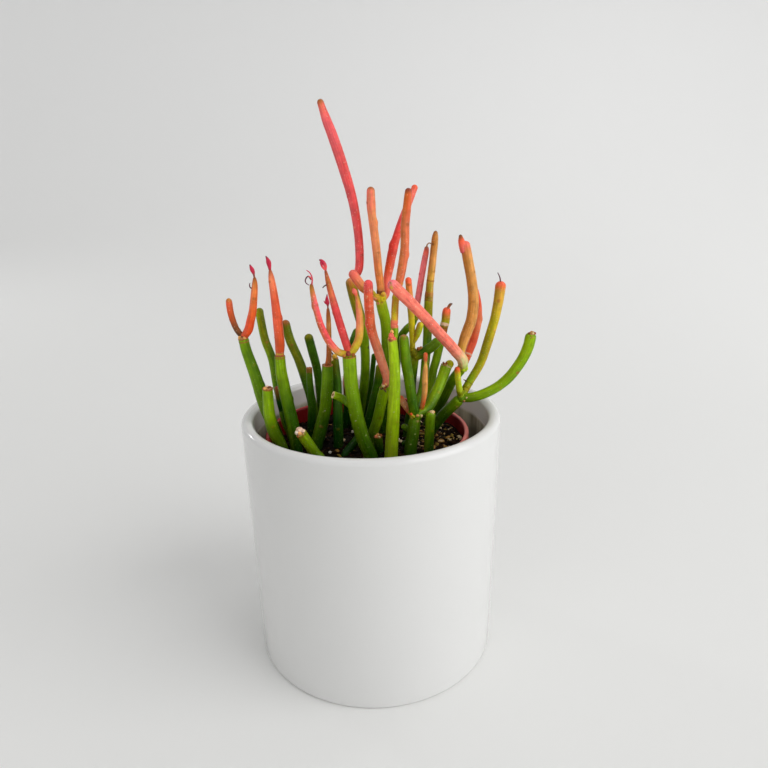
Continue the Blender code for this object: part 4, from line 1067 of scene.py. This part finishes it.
          "right": ("deepRose", 0.45),
          "run": [(-9, -23.5, 164, 3.7, "rust"), (-10.7, -22.5, 169.5, 3.7, "deepRose"),
              (-13.3, -20.5, 178.5, 3.7), (-15, -19.5, 185, 3.5), (-16.2, -19, 190, 3.1, "rustCoral"),
              (-17.6, -19, 196.5, 2.4, "brownOchre"), (-18.6, -19, 201.7, 1.1, "umber")],
          "marks": [("scar", 183, -60, "rust"), ("scar", 197, 10, "brown")],
          "leaves": [[(-18.6, -19, 201, 0.9, "umber"), (-18.5, -19, 202.4, 1.1, "rose"),
              (-18.5, -19, 203.6, 1.4), (-19.2, -19, 204.9, 1.8, "crimson"), (-20.2, -19, 206, 1.4),
              (-21.2, -19, 206.4, 0.4, "plum")], [(-18.7, -19.4, 201.8, 0.6, "rose"),
              (-19.6, -19.5, 203, 1.0), (-20.3, -19.4, 204.3, 0.9, "crimson"), (-20.7, -19.3, 205.6, 0.5)]],
          "threads": [([(-17.8, -19.6, 195.6), (-19.3, -20, 194.9), (-20.2, -20.1, 194)], "bark")]},
         {"name": "front_fork_right_growth", "slot": "growth_orange", "neck": 4.6, "right": ("gold", 0.6),
          "left": ("pink", 0.35),
          "run": [(-9, -23.5, 164, 3.7, "khaki"), (-6.3, -23.5, 167.5, 3.7, "yellow"),
              (-4.5, -23.5, 172, 3.6, "gold"), (-4, -23, 179, 3.3, "apricot"), (-4.2, -23, 184.5, 2.7),
              (-5, -23, 191, 1.3, "brownOchre")],
          "marks": [("faint", 175, -60, "coral"), ("scar", 186, 30, "gold")],
          "leaves": [[(-5, -23, 189.6, 1.0, "brownOchre"), (-5.3, -23.2, 191.2, 1.5, "coral"),
              (-5.9, -23.5, 192.7, 2.2, "coralPink"), (-6.5, -23.7, 194, 0.9, "rose")]]}]},
    {"name": "middle_hidden_stem", "slot": "stem_olive",
     "run": [(-14, 25, 111, 5, "shade"), (-12.5, 25, 122.5, 5), (-12.3, 24.5, 137.5, 4.9, "brown"),
         (-11, 24, 148, 4.8, "deep"), (-8.5, 23.5, 158, 4.7), (-5.5, 23, 166, 4.5, "stem")],
     "marks": [("patch", 138, -70, "rust")]},
    {"name": "middle_back_stem", "slot": "stem_olive", "left": ("stem", 0.5), "right": ("leafGreen", 0.45),
     "run": [(-9, 20, 111, 4.9, "shade"), (-6.7, 19, 118, 4.9), (-5, 18, 126.5, 4.8, "deep"),
         (-3, 16, 139.5, 4.8, "stem"), (-2.2, 14, 152, 4.7, "leafGreen"), (-2.7, 12, 165, 5.1),
         (-4, 11, 173, 5.4, "khaki"), (-6.5, 10, 183.5, 5.5), (-8, 9, 191, 5.4, "brownOchre"),
         (-8.5, 9, 194.5, 4.8, "apricot")],
     "marks": [("spot", 158.8, 60, "bark"), ("scar", 178, 20, "brown"), ("faint", 168, -40, "olive")],
     "growths": [
         {"name": "tall_red_growth", "slot": "growth_red", "neck": 6.0, "tip": "brown",
          "right": ("red", 0.5), "left": ("pinkRose", 0.55), "streak": ("pinkRose", 0.3), "tipLength": 2.6,
          "run": [(-7.7, 9.2, 192, 4, "khaki"), (-5.5, 9.5, 195.5, 3.7, "rust"), (-4, 10, 199, 4.1, "rose"),
              (-3.5, 10, 206, 4.2), (-4, 10, 217, 4.2), (-6, 9, 231, 4.5), (-9.5, 8, 244.5, 4.8),
              (-13.5, 7, 257.5, 4.8, "pinkRose"), (-16.5, 6, 266, 4.3), (-18, 5.5, 270.5, 3.4, "pink"),
              (-19.3, 5, 274.8, 2.8, "tangerine")],
          "marks": [("scar", 206, 40, "crimsonBark"), ("faint", 233, -80, "red"), ("scar", 247, 50, "red"),
              ("scar", 219, -50, "salmon"), ("faint", 262, -30, "salmon")]}]},
    {"name": "middle_callused_stem", "cut": True, "face": "khaki", "border": "cork", "left": ("stem", 0.3),
     "right": ("bright", 0.4),
     "run": [(-2, -7, 111, 5.1, "deep"), (-0.5, -7.5, 116, 5.1), (3, -8.5, 126, 5.2, "leafGreen"),
         (5.5, -9.5, 137, 5.3), (7, -10, 143, 5.3, "bright")],
     "marks": [("spot", 128.8, 20, "olive"), ("dot", 136, -30, "paleLime")],
     "joints": [(7.2, -10, 143, 4.8, "leafGreen"), (6.3, -12.2, 144.8, 1.6, "paleCork"),
         (7.5, -12.4, 145.5, 1.3, "golden"), (7, -12.7, 143.7, 1.3, "brown"),
         (5.8, -12.6, 143.8, 1.0, "bark"), (8, -12.6, 144.4, 1.0, "umber")],
     "threads": [([(5.9, -12.5, 144), (5, -13, 143.4), (4.7, -13, 144.4)], "bark"), ([(6.9, -12.8, 143.4),
         (7.1, -13.3, 142.4), (7.8, -13.4, 142)], "bark")],
     "growths": [
         {"name": "coral_growth", "slot": "growth_coral", "neck": 3.0, "tip": "rose", "tipLength": 7,
          "right": ("tangerine", 0.35), "left": ("coral", 0.45), "streak": ("apricot", 0.35),
          "run": [(7, -10, 143, 3.7, "salmon"), (8, -10.5, 147.5, 3.9), (7, -11, 152.5, 4.2),
              (5.5, -11.5, 157.5, 4.4), (4, -12, 163, 4.5), (1.3, -12.5, 172.5, 4.5, "coral"),
              (0.5, -13, 181.5, 4.5), (0.3, -13, 189.5, 4.5), (0.3, -13, 196.3, 4.2, "pink")],
          "marks": [("scar", 184.6, 10, "salmon"), ("spot", 192, 40, "salmon"),
              ("spot", 189, -30, "apricot"), ("scar", 172, -60, "rust"), ("bump", 176, -85, "coral"),
              ("scar", 160, 50, "salmon")]}]},
    {"name": "middle_olive_stem", "slot": "stem_olive",
     "run": [(-3, 12, 111, 4.8, "shade"), (-1.5, 10, 119, 4.5), (1.5, 8, 131, 4.4, "deep"),
         (4, 6, 142.5, 4.1), (5, 5, 151, 3.6, "olive")]},
    {"name": "middle_thin_stem", "slot": "stem_olive",
     "run": [(-5, 30, 111, 3.1, "shade"), (-3.5, 29, 119.5, 3.1), (0.5, 27, 136, 2.9, "deep"),
         (2.5, 25, 151.5, 2.7)]},
    {"name": "front_short_stub", "cut": True, "face": "cork",
     "run": [(3.5, -13.5, 111, 4.5, "shade"), (3.3, -13.8, 115, 4.5, "deep"), (3, -14, 119.5, 4.4, "stem")],
     "joints": [(2.1, -15, 119.6, 1.7, "apricot"), (3.7, -15.3, 119.6, 1.3, "paleCork"),
         (4.4, -14, 119.8, 1.5, "brown"), (2.9, -13.2, 119.9, 1.6, "golden")]},
    {"name": "front_low_stub", "cut": True, "face": "cork",
     "run": [(-13.5, -17, 111, 3.9, "shade"), (-10.5, -14.5, 114.5, 4), (-6, -12, 119, 4, "deep")]},
    {"name": "middle_forked_stem", "left": ("leafGreen", 0.35), "right": ("leafGreen", 0.3),
     "run": [(5.5, 12, 111, 5.9, "shade"), (8, 11, 127, 5.8, "deep"), (8.7, 10, 141, 5.7),
         (9, 9, 157.5, 5.6, "stem"), (8.7, 8, 170.5, 5.5, "leafGreen"), (7, 7, 179.5, 5.5, "bright"),
         (6, 6.5, 184.5, 5.4, "yellow")],
     "marks": [("scar", 168, 40, "olive"), ("spot", 183, -40, "salmon"), ("spot", 183.6, 10, "brown")],
     "joints": [(6.2, 6.7, 184.3, 5.8, "yellow"), (7.6, 4.8, 186.6, 2.6, "gold")],
     "growths": [
         {"name": "arching_ochre_growth", "slot": "growth_ochre", "neck": 4.2, "tip": "pink", "tipLength": 6,
          "left": ("coral", 0.35),
          "run": [(6, 6.5, 184.5, 4, "yellow"), (3.5, 4, 185.5, 3.7, "gold"), (1, 2, 188, 4.2, "oliveLime"),
              (-2.3, 0, 191, 4.6, "ochre"), (-5, -1, 194.7, 4.6, "apricot"),
              (-7.8, -2, 199.3, 4.3, "coralPink")],
          "marks": [("scar", 191.4, 30, "brown"), ("spot", 186.2, -20, "salmon"),
              ("faint", 196, 60, "gold")]},
         {"name": "upright_tan_growth", "slot": "growth_ochre", "neck": 4.2, "tip": "brown", "tipLength": 2,
          "right": ("brownOchre", 0.45), "streak": ("tanSkin", 0.3),
          "run": [(6.2, 6.5, 184.5, 4, "gold"), (6.3, 6.5, 187.6, 3.8, "umber"),
              (6.3, 6.5, 190.5, 3.8, "tangerine"), (5.5, 6.5, 198, 4), (4.7, 6.5, 208, 4, "apricot"),
              (3.8, 6.5, 217, 4), (3, 6.5, 224, 4), (2.7, 6.5, 229, 4.3, "coralPink"), (2.7, 6.5, 237, 3.7)],
          "marks": [("bump", 220.9, 85, "coral"), ("ring", 188, 0, "umber"), ("scar", 230, -70, "brown"),
              ("scar", 207, 30, "brown"), ("scar", 198, -50, "apricot")]},
         {"name": "leaning_red_growth", "slot": "growth_red", "neck": 5.2, "tip": "coral",
          "right": ("pink", 0.4),
          "run": [(6.5, 7.5, 183.5, 3.2, "gold"), (9.3, 11, 185.5, 3.1, "pink"), (9.7, 13, 191.5, 3.8),
              (11, 14, 198, 4.4, "rust"), (12.8, 15, 206, 4.6, "red"), (15, 15.5, 213.5, 4),
              (18.3, 16, 222.5, 3.7, "rose"), (21.5, 16.5, 230, 3.4, "pink"), (24.7, 17, 237.5, 3.1)],
          "marks": [("bump", 209.3, -85, "red"), ("scar", 197, 30, "salmon"), ("scar", 216, 20, "rust")]}]},
    {"name": "front_right_stem", "left": ("lime", 0.45), "right": ("leafGreen", 0.6),
     "run": [(9, -22, 111, 6.5, "lime"), (10, -22, 125.5, 6.2, "bright"), (11, -22, 141, 5.7),
         (11.5, -22, 153, 5.1), (11, -22, 165, 4.6), (10.3, -22, 172, 4.2, "lime")],
     "tip": "pink", "tipLength": 2.4,
     "marks": [("line", 170.3, 0, "crimsonBark"), ("spot", 170.6, -25, "crimsonBark"),
         ("spot", 171, 30, "rose"), ("scar", 140.3, -60, "khaki"), ("faint", 155.5, 30, "paleLime"),
         ("dot", 151, -35, "lime"), ("dot", 136, 5, "paleLime"), ("scar", 131, 40, "khaki")],
     "joints": [(10, -23, 172.2, 2.4, "pink"), (10.4, -22.4, 173.8, 1.7, "golden")],
     "branches": [
         {"run": [(11, -21.8, 169, 3.2, "leafGreen"), (12, -20.7, 173.5, 3.1),
              (11.6, -20, 177, 3.1, "stem")],
          "marks": [("ring", 176, 0, "pink")]}],
     "growths": [
         {"name": "orange_growth", "slot": "growth_orange", "neck": 1.2, "tip": "crimsonBark",
          "tipLength": 3, "left": ("brownOchre", 0.5), "right": ("rustCoral", 0.5),
          "streak": ("brick", 0.25),
          "run": [(11.6, -20, 176.5, 3.1, "pink"), (11.8, -19.8, 178.5, 3.2, "yellow"),
              (12, -19.5, 181, 3.3), (12.5, -18.5, 187.5, 3.3, "khaki"), (14, -17, 194, 3.6, "rustCoral"),
              (15.5, -16, 200.5, 4.1), (17, -15, 209.5, 4), (17.5, -14, 220.5, 3.9),
              (18.4, -13, 228, 3.7, "rust"), (19.3, -12, 236, 3, "orange")],
          "marks": [("bump", 207.8, 85, "coral"), ("scar", 203, -30, "brown"), ("scar", 221, 30, "brown"),
              ("collar", 177.3, 0, "pink"), ("ring", 188.5, 0, "khaki"), ("scar", 195, 60, "gold")]}]},
    {"name": "right_branching_stem", "left": ("leafGreen", 0.35), "right": ("stem", 0.4),
     "run": [(18.5, -17, 111, 6.4, "shade"), (20, -16.5, 120, 6.1, "deep"), (21.5, -15, 130, 5.8, "stem")],
     "marks": [("dot", 122, 10, "paleLime"), ("scar", 128.2, 25, "cork"), ("dot", 117, -15, "paleLime")],
     "branches": [
         {"run": [(20.6, -16, 124.5, 3.7, "stem"), (17.5, -14, 123.2, 3.5),
              (15, -12.5, 124.4, 3.2, "leafGreen")]},
         {"run": [(19.3, -16.8, 116, 3.7, "deep"), (15, -13, 115, 3.4)]},
         {"left": ("leafGreen", 0.5), "right": ("deep", 0.5), "tip": "cork", "tipLength": 1.2,
          "run": [(21.5, -15, 130, 4.9, "deep"), (20, -15.5, 138, 4.9), (18.5, -16, 148.5, 4.9, "stem"),
              (17, -16.5, 158.5, 5), (16, -16.5, 171, 4.7, "leafGreen")],
          "marks": [("scar", 169.9, 0, "crimsonBark"), ("scar", 151, 40, "olive")]},
         {"cut": True, "border": "paleCork", "face": "cork", "heart": "brown", "left": ("bright", 0.5),
          "right": ("stem", 0.4),
          "run": [(21.5, -15, 130, 4.9, "stem"), (27, -12, 132, 5.2, "deep"), (30.5, -9, 136, 5.4, "stem"),
              (35.5, -3, 144, 5.6, "leafGreen"), (38.5, 1, 150.5, 5.6)],
          "marks": [("line", 149.9, 0, "paleCork"), ("scar", 139, 10, "khaki")]},
         {"run": [(37.5, 0, 148, 3.8, "bright"), (41.4, 2.2, 152.6, 4.4, "yellow")],
          "marks": [("scar", 151.2, -30, "khaki")]},
         {"left": ("leafGreen", 0.5),
          "run": [(21.5, -14, 130.5, 3.9, "deep"), (24, -8, 135.5, 4.2), (26.5, -3, 142, 4.4),
              (28, 3, 151, 4.4, "stem"), (29.5, 9, 161, 4.5, "deep"), (30, 10, 173.5, 4.5, "olive"),
              (30.5, 10.5, 183.5, 4.4, "khaki")],
          "marks": [("ring", 182.6, 0, "brown"), ("scar", 171, 20, "brown")]},
         {"left": ("bright", 0.5), "right": ("deep", 0.4),
          "run": [(22, -14, 130.5, 3.9, "stem"), (26, -4, 132.5, 4), (30.5, 3.5, 138, 4.3, "leafGreen"),
              (32.5, 7, 146.5, 4.4), (34, 8, 151.5, 4.4), (36, 9, 159.5, 4.3, "stem"), (38, 10, 167.7, 4.2)],
          "marks": [("scar", 156, 20, "olive"), ("line", 166.3, 0, "crimsonBark")]}],
     "joints": [(21.8, -14.7, 130, 6.2, "stem"), (20, -16.6, 130.6, 2.9, "khaki"),
         (19.3, -17.4, 131.8, 1.4, "rust"), (22.4, -17.6, 131, 1.6, "cork"),
         (24.3, -16.6, 130.5, 1.5, "paleCork"), (37.4, -1.4, 151.8, 2.0, "cork"),
         (36.6, -1.8, 152.7, 1.2, "umber"), (38.2, -1.4, 152.6, 1.2, "brown")],
     "growths": [
         {"name": "right_small_orange_growth", "slot": "growth_orange", "neck": 5.0,
          "left": ("golden", 0.35),
          "run": [(24, -13, 130, 2.4, "khaki"), (25.3, -14.5, 136.5, 2.3, "rust"),
              (26, -15, 142, 2.8, "ochre"), (26.2, -15, 149, 2.8), (26.5, -14.5, 153.8, 2.2),
              (26.5, -14.4, 156.2, 1.3, "gold"), (26.5, -14.2, 158, 2.0, "brick"),
              (26.5, -14, 161.5, 2.1, "rust")],
          "marks": [("scar", 147, 20, "brownOchre")]},
         {"name": "right_small_pink_growth", "slot": "growth_coral", "neck": 4.8, "tip": "coral",
          "run": [(21.5, -15, 129.5, 2.9, "gold"), (19, -13, 131.5, 3.1, "coral"),
              (16.7, -12, 134.5, 3.2, "peach"), (14, -10.5, 139, 3.0)],
          "marks": [("spot", 131.8, 0, "yellow")]},
         {"name": "right_ochre_growth", "slot": "growth_ochre", "neck": 1.0, "tip": "umber",
          "tipLength": 1.2, "left": ("brown", 0.45), "right": ("tanSkin", 0.45),
          "run": [(30.5, 10.5, 183.3, 4.4, "olive"), (30.7, 10.5, 186, 4.2, "brown"),
              (30.8, 10.5, 186.8, 3.9, "khaki"), (31, 10.5, 190, 3.8), (31.4, 10.5, 193.2, 3.8, "gold"),
              (32.3, 10.5, 201, 3.6, "ochre"), (33.2, 11, 209, 3.5, "brownOchre"), (33.6, 11, 213.2, 3.1),
              (33.9, 11, 216, 1.5, "brown")],
          "marks": [("scar", 209.7, -30, "bark"), ("line", 192.2, 0, "brown"), ("scar", 197, 40, "brown"),
              ("faint", 203, -70, "brown")]},
         {"name": "right_short_lime_growth", "slot": "growth_lime", "neck": 1.0, "tip": "coral",
          "tipLength": 4.5,
          "run": [(38, 10, 167.5, 4.2, "brown"), (38.4, 10.2, 169.4, 4.2, "olive"),
              (39, 10.5, 171.4, 4.3, "oliveLime"), (39.3, 10.5, 175, 4.3, "brownOchre"),
              (39.8, 10.5, 178.4, 3.9, "coral")],
          "marks": [("ring", 169.8, 0, "cutPink"), ("scar", 174, 30, "ochre"), ("scar", 178.4, 10, "umber")],
          "leaves": [[(39.9, 9.8, 177.2, 1.4, "coral"), (40.4, 9.4, 178.8, 1.5, "brown"),
              (41.2, 9.1, 180, 1.4, "umber"), (42.2, 8.9, 180.4, 0.5, "bark")]]}]},
    {"name": "right_back_forked_stem", "slot": "stem_olive", "left": ("stem", 0.4),
     "run": [(19, 8, 111, 5.1, "shade"), (21.3, 7, 128, 5), (21, 5, 139.5, 4.9, "deep"),
         (22, 3, 150.5, 4.8, "stem"), (22.5, 2, 156, 4.8, "olive")],
     "joints": [(22.6, 1.8, 157.2, 4.4, "olive"), (24.4, 0, 159.8, 1.9, "brown"),
         (25.7, 0.2, 160.3, 1.5, "cork")],
     "branches": [
         {"run": [(22.5, 2, 155, 4.5, "olive"), (27, 1.5, 157.5, 5, "deep"), (31.5, 0.5, 161, 5, "stem"),
              (35, 0, 164.5, 4.8)]},
         {"run": [(22.5, 2, 156, 4, "olive"), (21.5, 1.5, 160, 3.2)]}],
     "growths": [
         {"name": "right_back_lime_growth", "slot": "growth_lime", "neck": 1.2, "tip": "coral",
          "tipLength": 5, "left": ("khaki", 0.5),
          "run": [(21.5, 1.5, 159.5, 2.7, "khaki"), (21.4, 1, 164, 2.9, "yellow"), (21, 0, 174.5, 3.2),
              (20.3, 0, 184.5, 3.3, "ochre"), (19.5, 0, 195.3, 3.1, "orange")],
          "marks": [("scar", 192, 0, "umber"), ("faint", 180, 50, "olive")],
          "shoots": [
              {"left": ("brown", 0.7),
               "run": [(21.45, 1.1, 162.5, 2.4, "khaki"), (23, 0.5, 165.5, 2.9, "yellow"),
                   (24.5, -0.5, 169.5, 3.4, "lime"), (25.6, -1, 173.5, 3, "yellow")]}]}]},
    {"name": "right_back_thin_stem", "slot": "stem_olive",
     "run": [(13, 27, 111, 4.2, "shade"), (14, 25, 125, 4.1), (14.5, 20, 149, 4, "deep"),
         (16, 17.5, 160.5, 3.9), (19, 16, 166, 3.8, "stem"), (22.5, 15, 169.5, 3.6, "leafGreen"),
         (24, 14.5, 173.5, 3.2)],
     "growths": [
         {"name": "right_thin_pink_growth", "slot": "growth_coral", "neck": 1.2, "right": ("coralPink", 0.4),
          "run": [(24, 14.5, 173, 3.2, "leafGreen"), (24.4, 14.5, 176, 2.7, "khaki"),
              (25, 14.5, 180, 3.2, "softPink"), (27, 14.5, 192, 3.2), (28.5, 14.5, 200.5, 3.1),
              (29.5, 14.5, 205.5, 2.8, "pink"), (29.8, 14.5, 208.4, 1.8, "umber")],
          "marks": [("scar", 195, -60, "crimson")],
          "threads": [([(29.7, 14, 207.9), (30, 13.9, 209.2), (31, 13.9, 210), (32, 13.9, 209.3),
              (31.9, 14, 207.8)], "cork")]}]},
    {"name": "right_leaning_stem", "left": ("leafGreen", 0.45),
     "run": [(31, 21, 111, 5.5, "shade"), (36, 17, 122.5, 5.4, "deep"), (38.5, 14, 128.5, 5.3),
         (40.5, 11, 134.5, 5.3, "stem"), (42.7, 6.5, 141.5, 5.2), (46.7, 1.5, 149, 5, "leafGreen")],
     "marks": [("faint", 140, 20, "khaki")],
     "joints": [(46.8, 1.5, 149.2, 5.2, "lime")],
     "growths": [
         {"name": "pink_diagonal_growth", "slot": "growth_coral", "neck": 4.6, "tip": "softPink",
          "tipLength": 3, "streak": ("salmon", 0.45), "left": ("pink", 0.3),
          "run": [(47, 1.5, 149.5, 4.7, "lime"), (46, -2.5, 154, 5.4, "paleLime"), (44.6, -4.2, 156.4, 5.4),
              (42, -6.5, 159.6, 5.4, "salmon"), (38.5, -9.5, 164, 5.3, "coralPink"),
              (33.5, -13.5, 170, 5.2, "pink"), (23.5, -21, 182, 5.1), (14, -27, 192.5, 5.2),
              (9.5, -29.3, 197.5, 4.7, "coralPink")],
          "marks": [("spot", 196.5, -30, "gold"), ("scar", 182.5, -30, "coral"),
              ("faint", 176, 60, "coral"), ("scar", 168, 20, "coral"), ("faint", 188, 40, "apricot"),
              ("spot", 198, 0, "cork")]},
         {"name": "big_ochre_growth", "slot": "growth_ochre", "neck": 4.8, "tip": "pink", "tipLength": 5,
          "left": ("brownOchre", 0.7), "right": ("golden", 0.45), "streak": ("brownOchre", 0.45),
          "run": [(46.7, 1.5, 149, 4, "lime"), (46.3, 5.5, 155.5, 4.3, "gold"), (48, 7, 162, 5.1, "ochre"),
              (50, 8, 167, 5.5), (52, 8.5, 173, 5.5), (52.7, 9, 182, 5.4), (51.5, 9, 192, 5.1),
              (49.5, 9, 202, 5.1), (47.7, 9, 211, 4.6, "pink")],
          "marks": [("scar", 181.5, -10, "brown"), ("scar", 196, 50, "brown"), ("scar", 170, 60, "brown"),
              ("spot", 207.6, -55, "rose")],
          "shoots": [
              {"tip": "umber", "tipLength": 2,
               "run": [(47.3, 8.5, 205.6, 3.1, "pinkRose"), (46.7, 8.4, 208.2, 3.5, "pink"),
                   (46, 8.2, 211.2, 3.1, "coral"), (45.4, 8, 214.1, 1.2, "brown")]}]},
         {"name": "red_orange_growth", "slot": "growth_orange", "neck": 5.6, "tip": "coral",
          "run": [(46.7, 1.5, 149, 3.5, "khaki"), (50, 9, 152, 3.6, "coral"), (52, 11.5, 156, 4.1),
              (54, 13.5, 160.5, 4.3), (56, 15, 169.5, 4.4, "apricot"), (56, 16, 178, 4.4, "coral"),
              (54.3, 17, 187, 3.9)],
          "marks": [("bump", 171.4, 85, "coral"), ("ring", 153.6, 0, "cutPink"),
              ("line", 152.2, 0, "brown")]}]},
    {"name": "far_right_stem", "left": ("leafGreen", 0.3),
     "run": [(30.5, 7, 111, 5.8, "shade"), (35, 5, 119.5, 5.8, "deep"), (38.5, 2.5, 125, 5.7),
         (42, 1, 129, 5.6, "stem"), (46, -1, 134, 5.6, "leafGreen")],
     "marks": [("scar", 131, 20, "cork")],
     "branches": [
         {"left": ("bright", 0.35), "right": ("stem", 0.5), "tip": "leafGreen", "tipLength": 1.5,
          "run": [(46, -1, 134, 4.5, "stem"), (50, -2, 134.2, 4.8), (55, -2.5, 135.5, 5, "leafGreen"),
              (60, -3, 137.7, 5), (65, -3.5, 141, 5), (70, -4, 146, 5.2), (75, -4.5, 153.7, 5.3),
              (77.7, -5, 160.5, 5.5, "bright"), (79, -5.5, 168, 5.4, "leafGreen")],
          "marks": [("spot", 148.7, 30, "brown"), ("faint", 153.3, -40, "khaki"),
              ("scar", 141, 10, "khaki"), ("scar", 166.4, 0, "brown")]},
         {"left": ("lime", 0.4),
          "run": [(46, -1, 134, 4.1, "leafGreen"), (48.5, 1, 138.5, 4.1, "khaki")]}],
     "joints": [(46.2, -1, 134, 5.3, "stem"), (48.4, -3.2, 134.6, 1.7, "paleCork"),
         (47, -3.4, 133, 1.3, "cork"), (78.9, -6.2, 167.5, 2.7, "cork"),
         (80.2, -6.4, 167.6, 1.5, "crimsonBark"), (77.7, -6.4, 167.5, 1.4, "umber"),
         (79.2, -7.3, 167.9, 1.1, "paleCork")],
     "growths": [
         {"name": "far_right_stub_growth", "slot": "growth_lime", "neck": 4.0, "tip": "rust",
          "tipLength": 3.5, "left": ("yellow", 0.5),
          "run": [(46, -1, 134, 3, "lime"), (44.5, -4, 139, 3.2), (43.5, -5.5, 145, 3.1),
              (43, -6.5, 149, 3, "yellow"), (42.7, -7, 152, 2.6, "orange")],
          "marks": [("scar", 146, 20, "gold"), ("collar", 138, 0, "olive")]},
         {"name": "far_right_lime_growth", "slot": "growth_lime", "neck": 1.2, "tip": "coral",
          "tipLength": 4.5, "left": ("olive", 0.4), "right": ("gold", 0.5),
          "run": [(48.3, 0.8, 138, 4.1, "khaki"), (51, 2.5, 142, 4.1, "leafGreen"),
              (54.5, 3.5, 147.3, 4.2, "oliveLime"), (57, 4, 152.5, 4.4), (60, 5, 162, 4.7, "khaki"),
              (62.8, 5.5, 172, 4.6, "yellow"), (64.7, 6, 182, 5.0, "gold"),
              (65.7, 6, 191.5, 5.5, "brownOchre")],
          "marks": [("spot", 182.2, -8, "brownOchre"), ("faint", 183.5, 5, "coral"),
              ("scar", 156, -40, "olive"), ("scar", 168, 30, "ochre"), ("line", 141, 0, "olive")],
          "threads": [([(65.3, 5.4, 190.8), (64.9, 5.1, 193), (64.3, 5, 194.5), (63.6, 4.9, 195.8)],
              "plum"), ([(48.8, 1.4, 141.4), (48, 0.8, 142.6), (47.2, 0.6, 143)], "bark")]}]},
    {"name": "right_short_stub", "left": ("bright", 0.4), "tip": "cork", "tipLength": 1.0,
     "run": [(28, -17, 111, 4.8, "shade"), (28, -17.5, 118, 4.7, "deep"), (28.5, -18, 129, 4.6, "stem"),
         (29, -18, 133.5, 4.4, "leafGreen")],
     "marks": [("scar", 124, 30, "olive")],
     "joints": [(29.2, -18.6, 132.9, 2.3, "paleCork"), (30.1, -18.2, 132.8, 1.3, "golden")]},
]

for cutting in cuttings:
    growCutting(cutting)
    print("grew", cutting["name"])


# The studio: a pale seamless sweep all round, so every side looks onto a plain ground
studio = {
    "radius": 4200.0,
    "wall": 3600.0,
    "curve": 3100.0,
    "steps": 96,
    "floorColour": "#eaeae8",
    "wallColour": "#efefee",
    "flatRadius": 300.0,
}


# Painted plaster: dead matt, so the ground takes only soft shadows. It is painted a little lighter from the
# floor out to the wall: painted light on the backdrop
def paintedPlaster():
    material, tree, surface = newMaterial("mattPaintedPlaster")
    place = addNode(tree, "TexCoord").outputs["Object"]
    away = addNode(tree, "VectorMath", {"operation": "LENGTH", "Vector": place})
    rise = addNode(tree, "MapRange", {"Value": away, "From Min": studio["flatRadius"] * mm,
                                      "From Max": studio["radius"] * 0.8 * mm})
    tone = addNode(tree, "Mix", {"data_type": "RGBA", 0: rise, 6: linear(studio["floorColour"]),
                                 7: linear(studio["wallColour"])})
    feed(surface, {"Base Color": tone, "Roughness": 0.95, "Specular IOR Level": 0.15})
    return material


def makeStudio():
    r, c = studio["radius"], studio["curve"]
    profile = [(0.0, 0.0), (studio["flatRadius"], 0.0)]
    for k in range(19):
        bend = math.radians(90 * k / 18)
        profile.append((r - c + c * math.sin(bend), c - c * math.cos(bend)))
    profile.append((r, studio["wall"]))
    shape = spunShape(profile, studio["steps"])
    shape.normal_update()
    if max(shape.faces, key=lambda face: -face.calc_center_median().length).normal.z < 0:
        bmesh.ops.reverse_faces(shape, faces=shape.faces)
    mesh = meshFrom("studioSweep", shape)
    mesh.shade_smooth()
    mesh.materials.append(paintedPlaster())
    sweep = addObject("studioSweep", mesh)


makeStudio()
print("studio made")

bpy.context.view_layer.update()
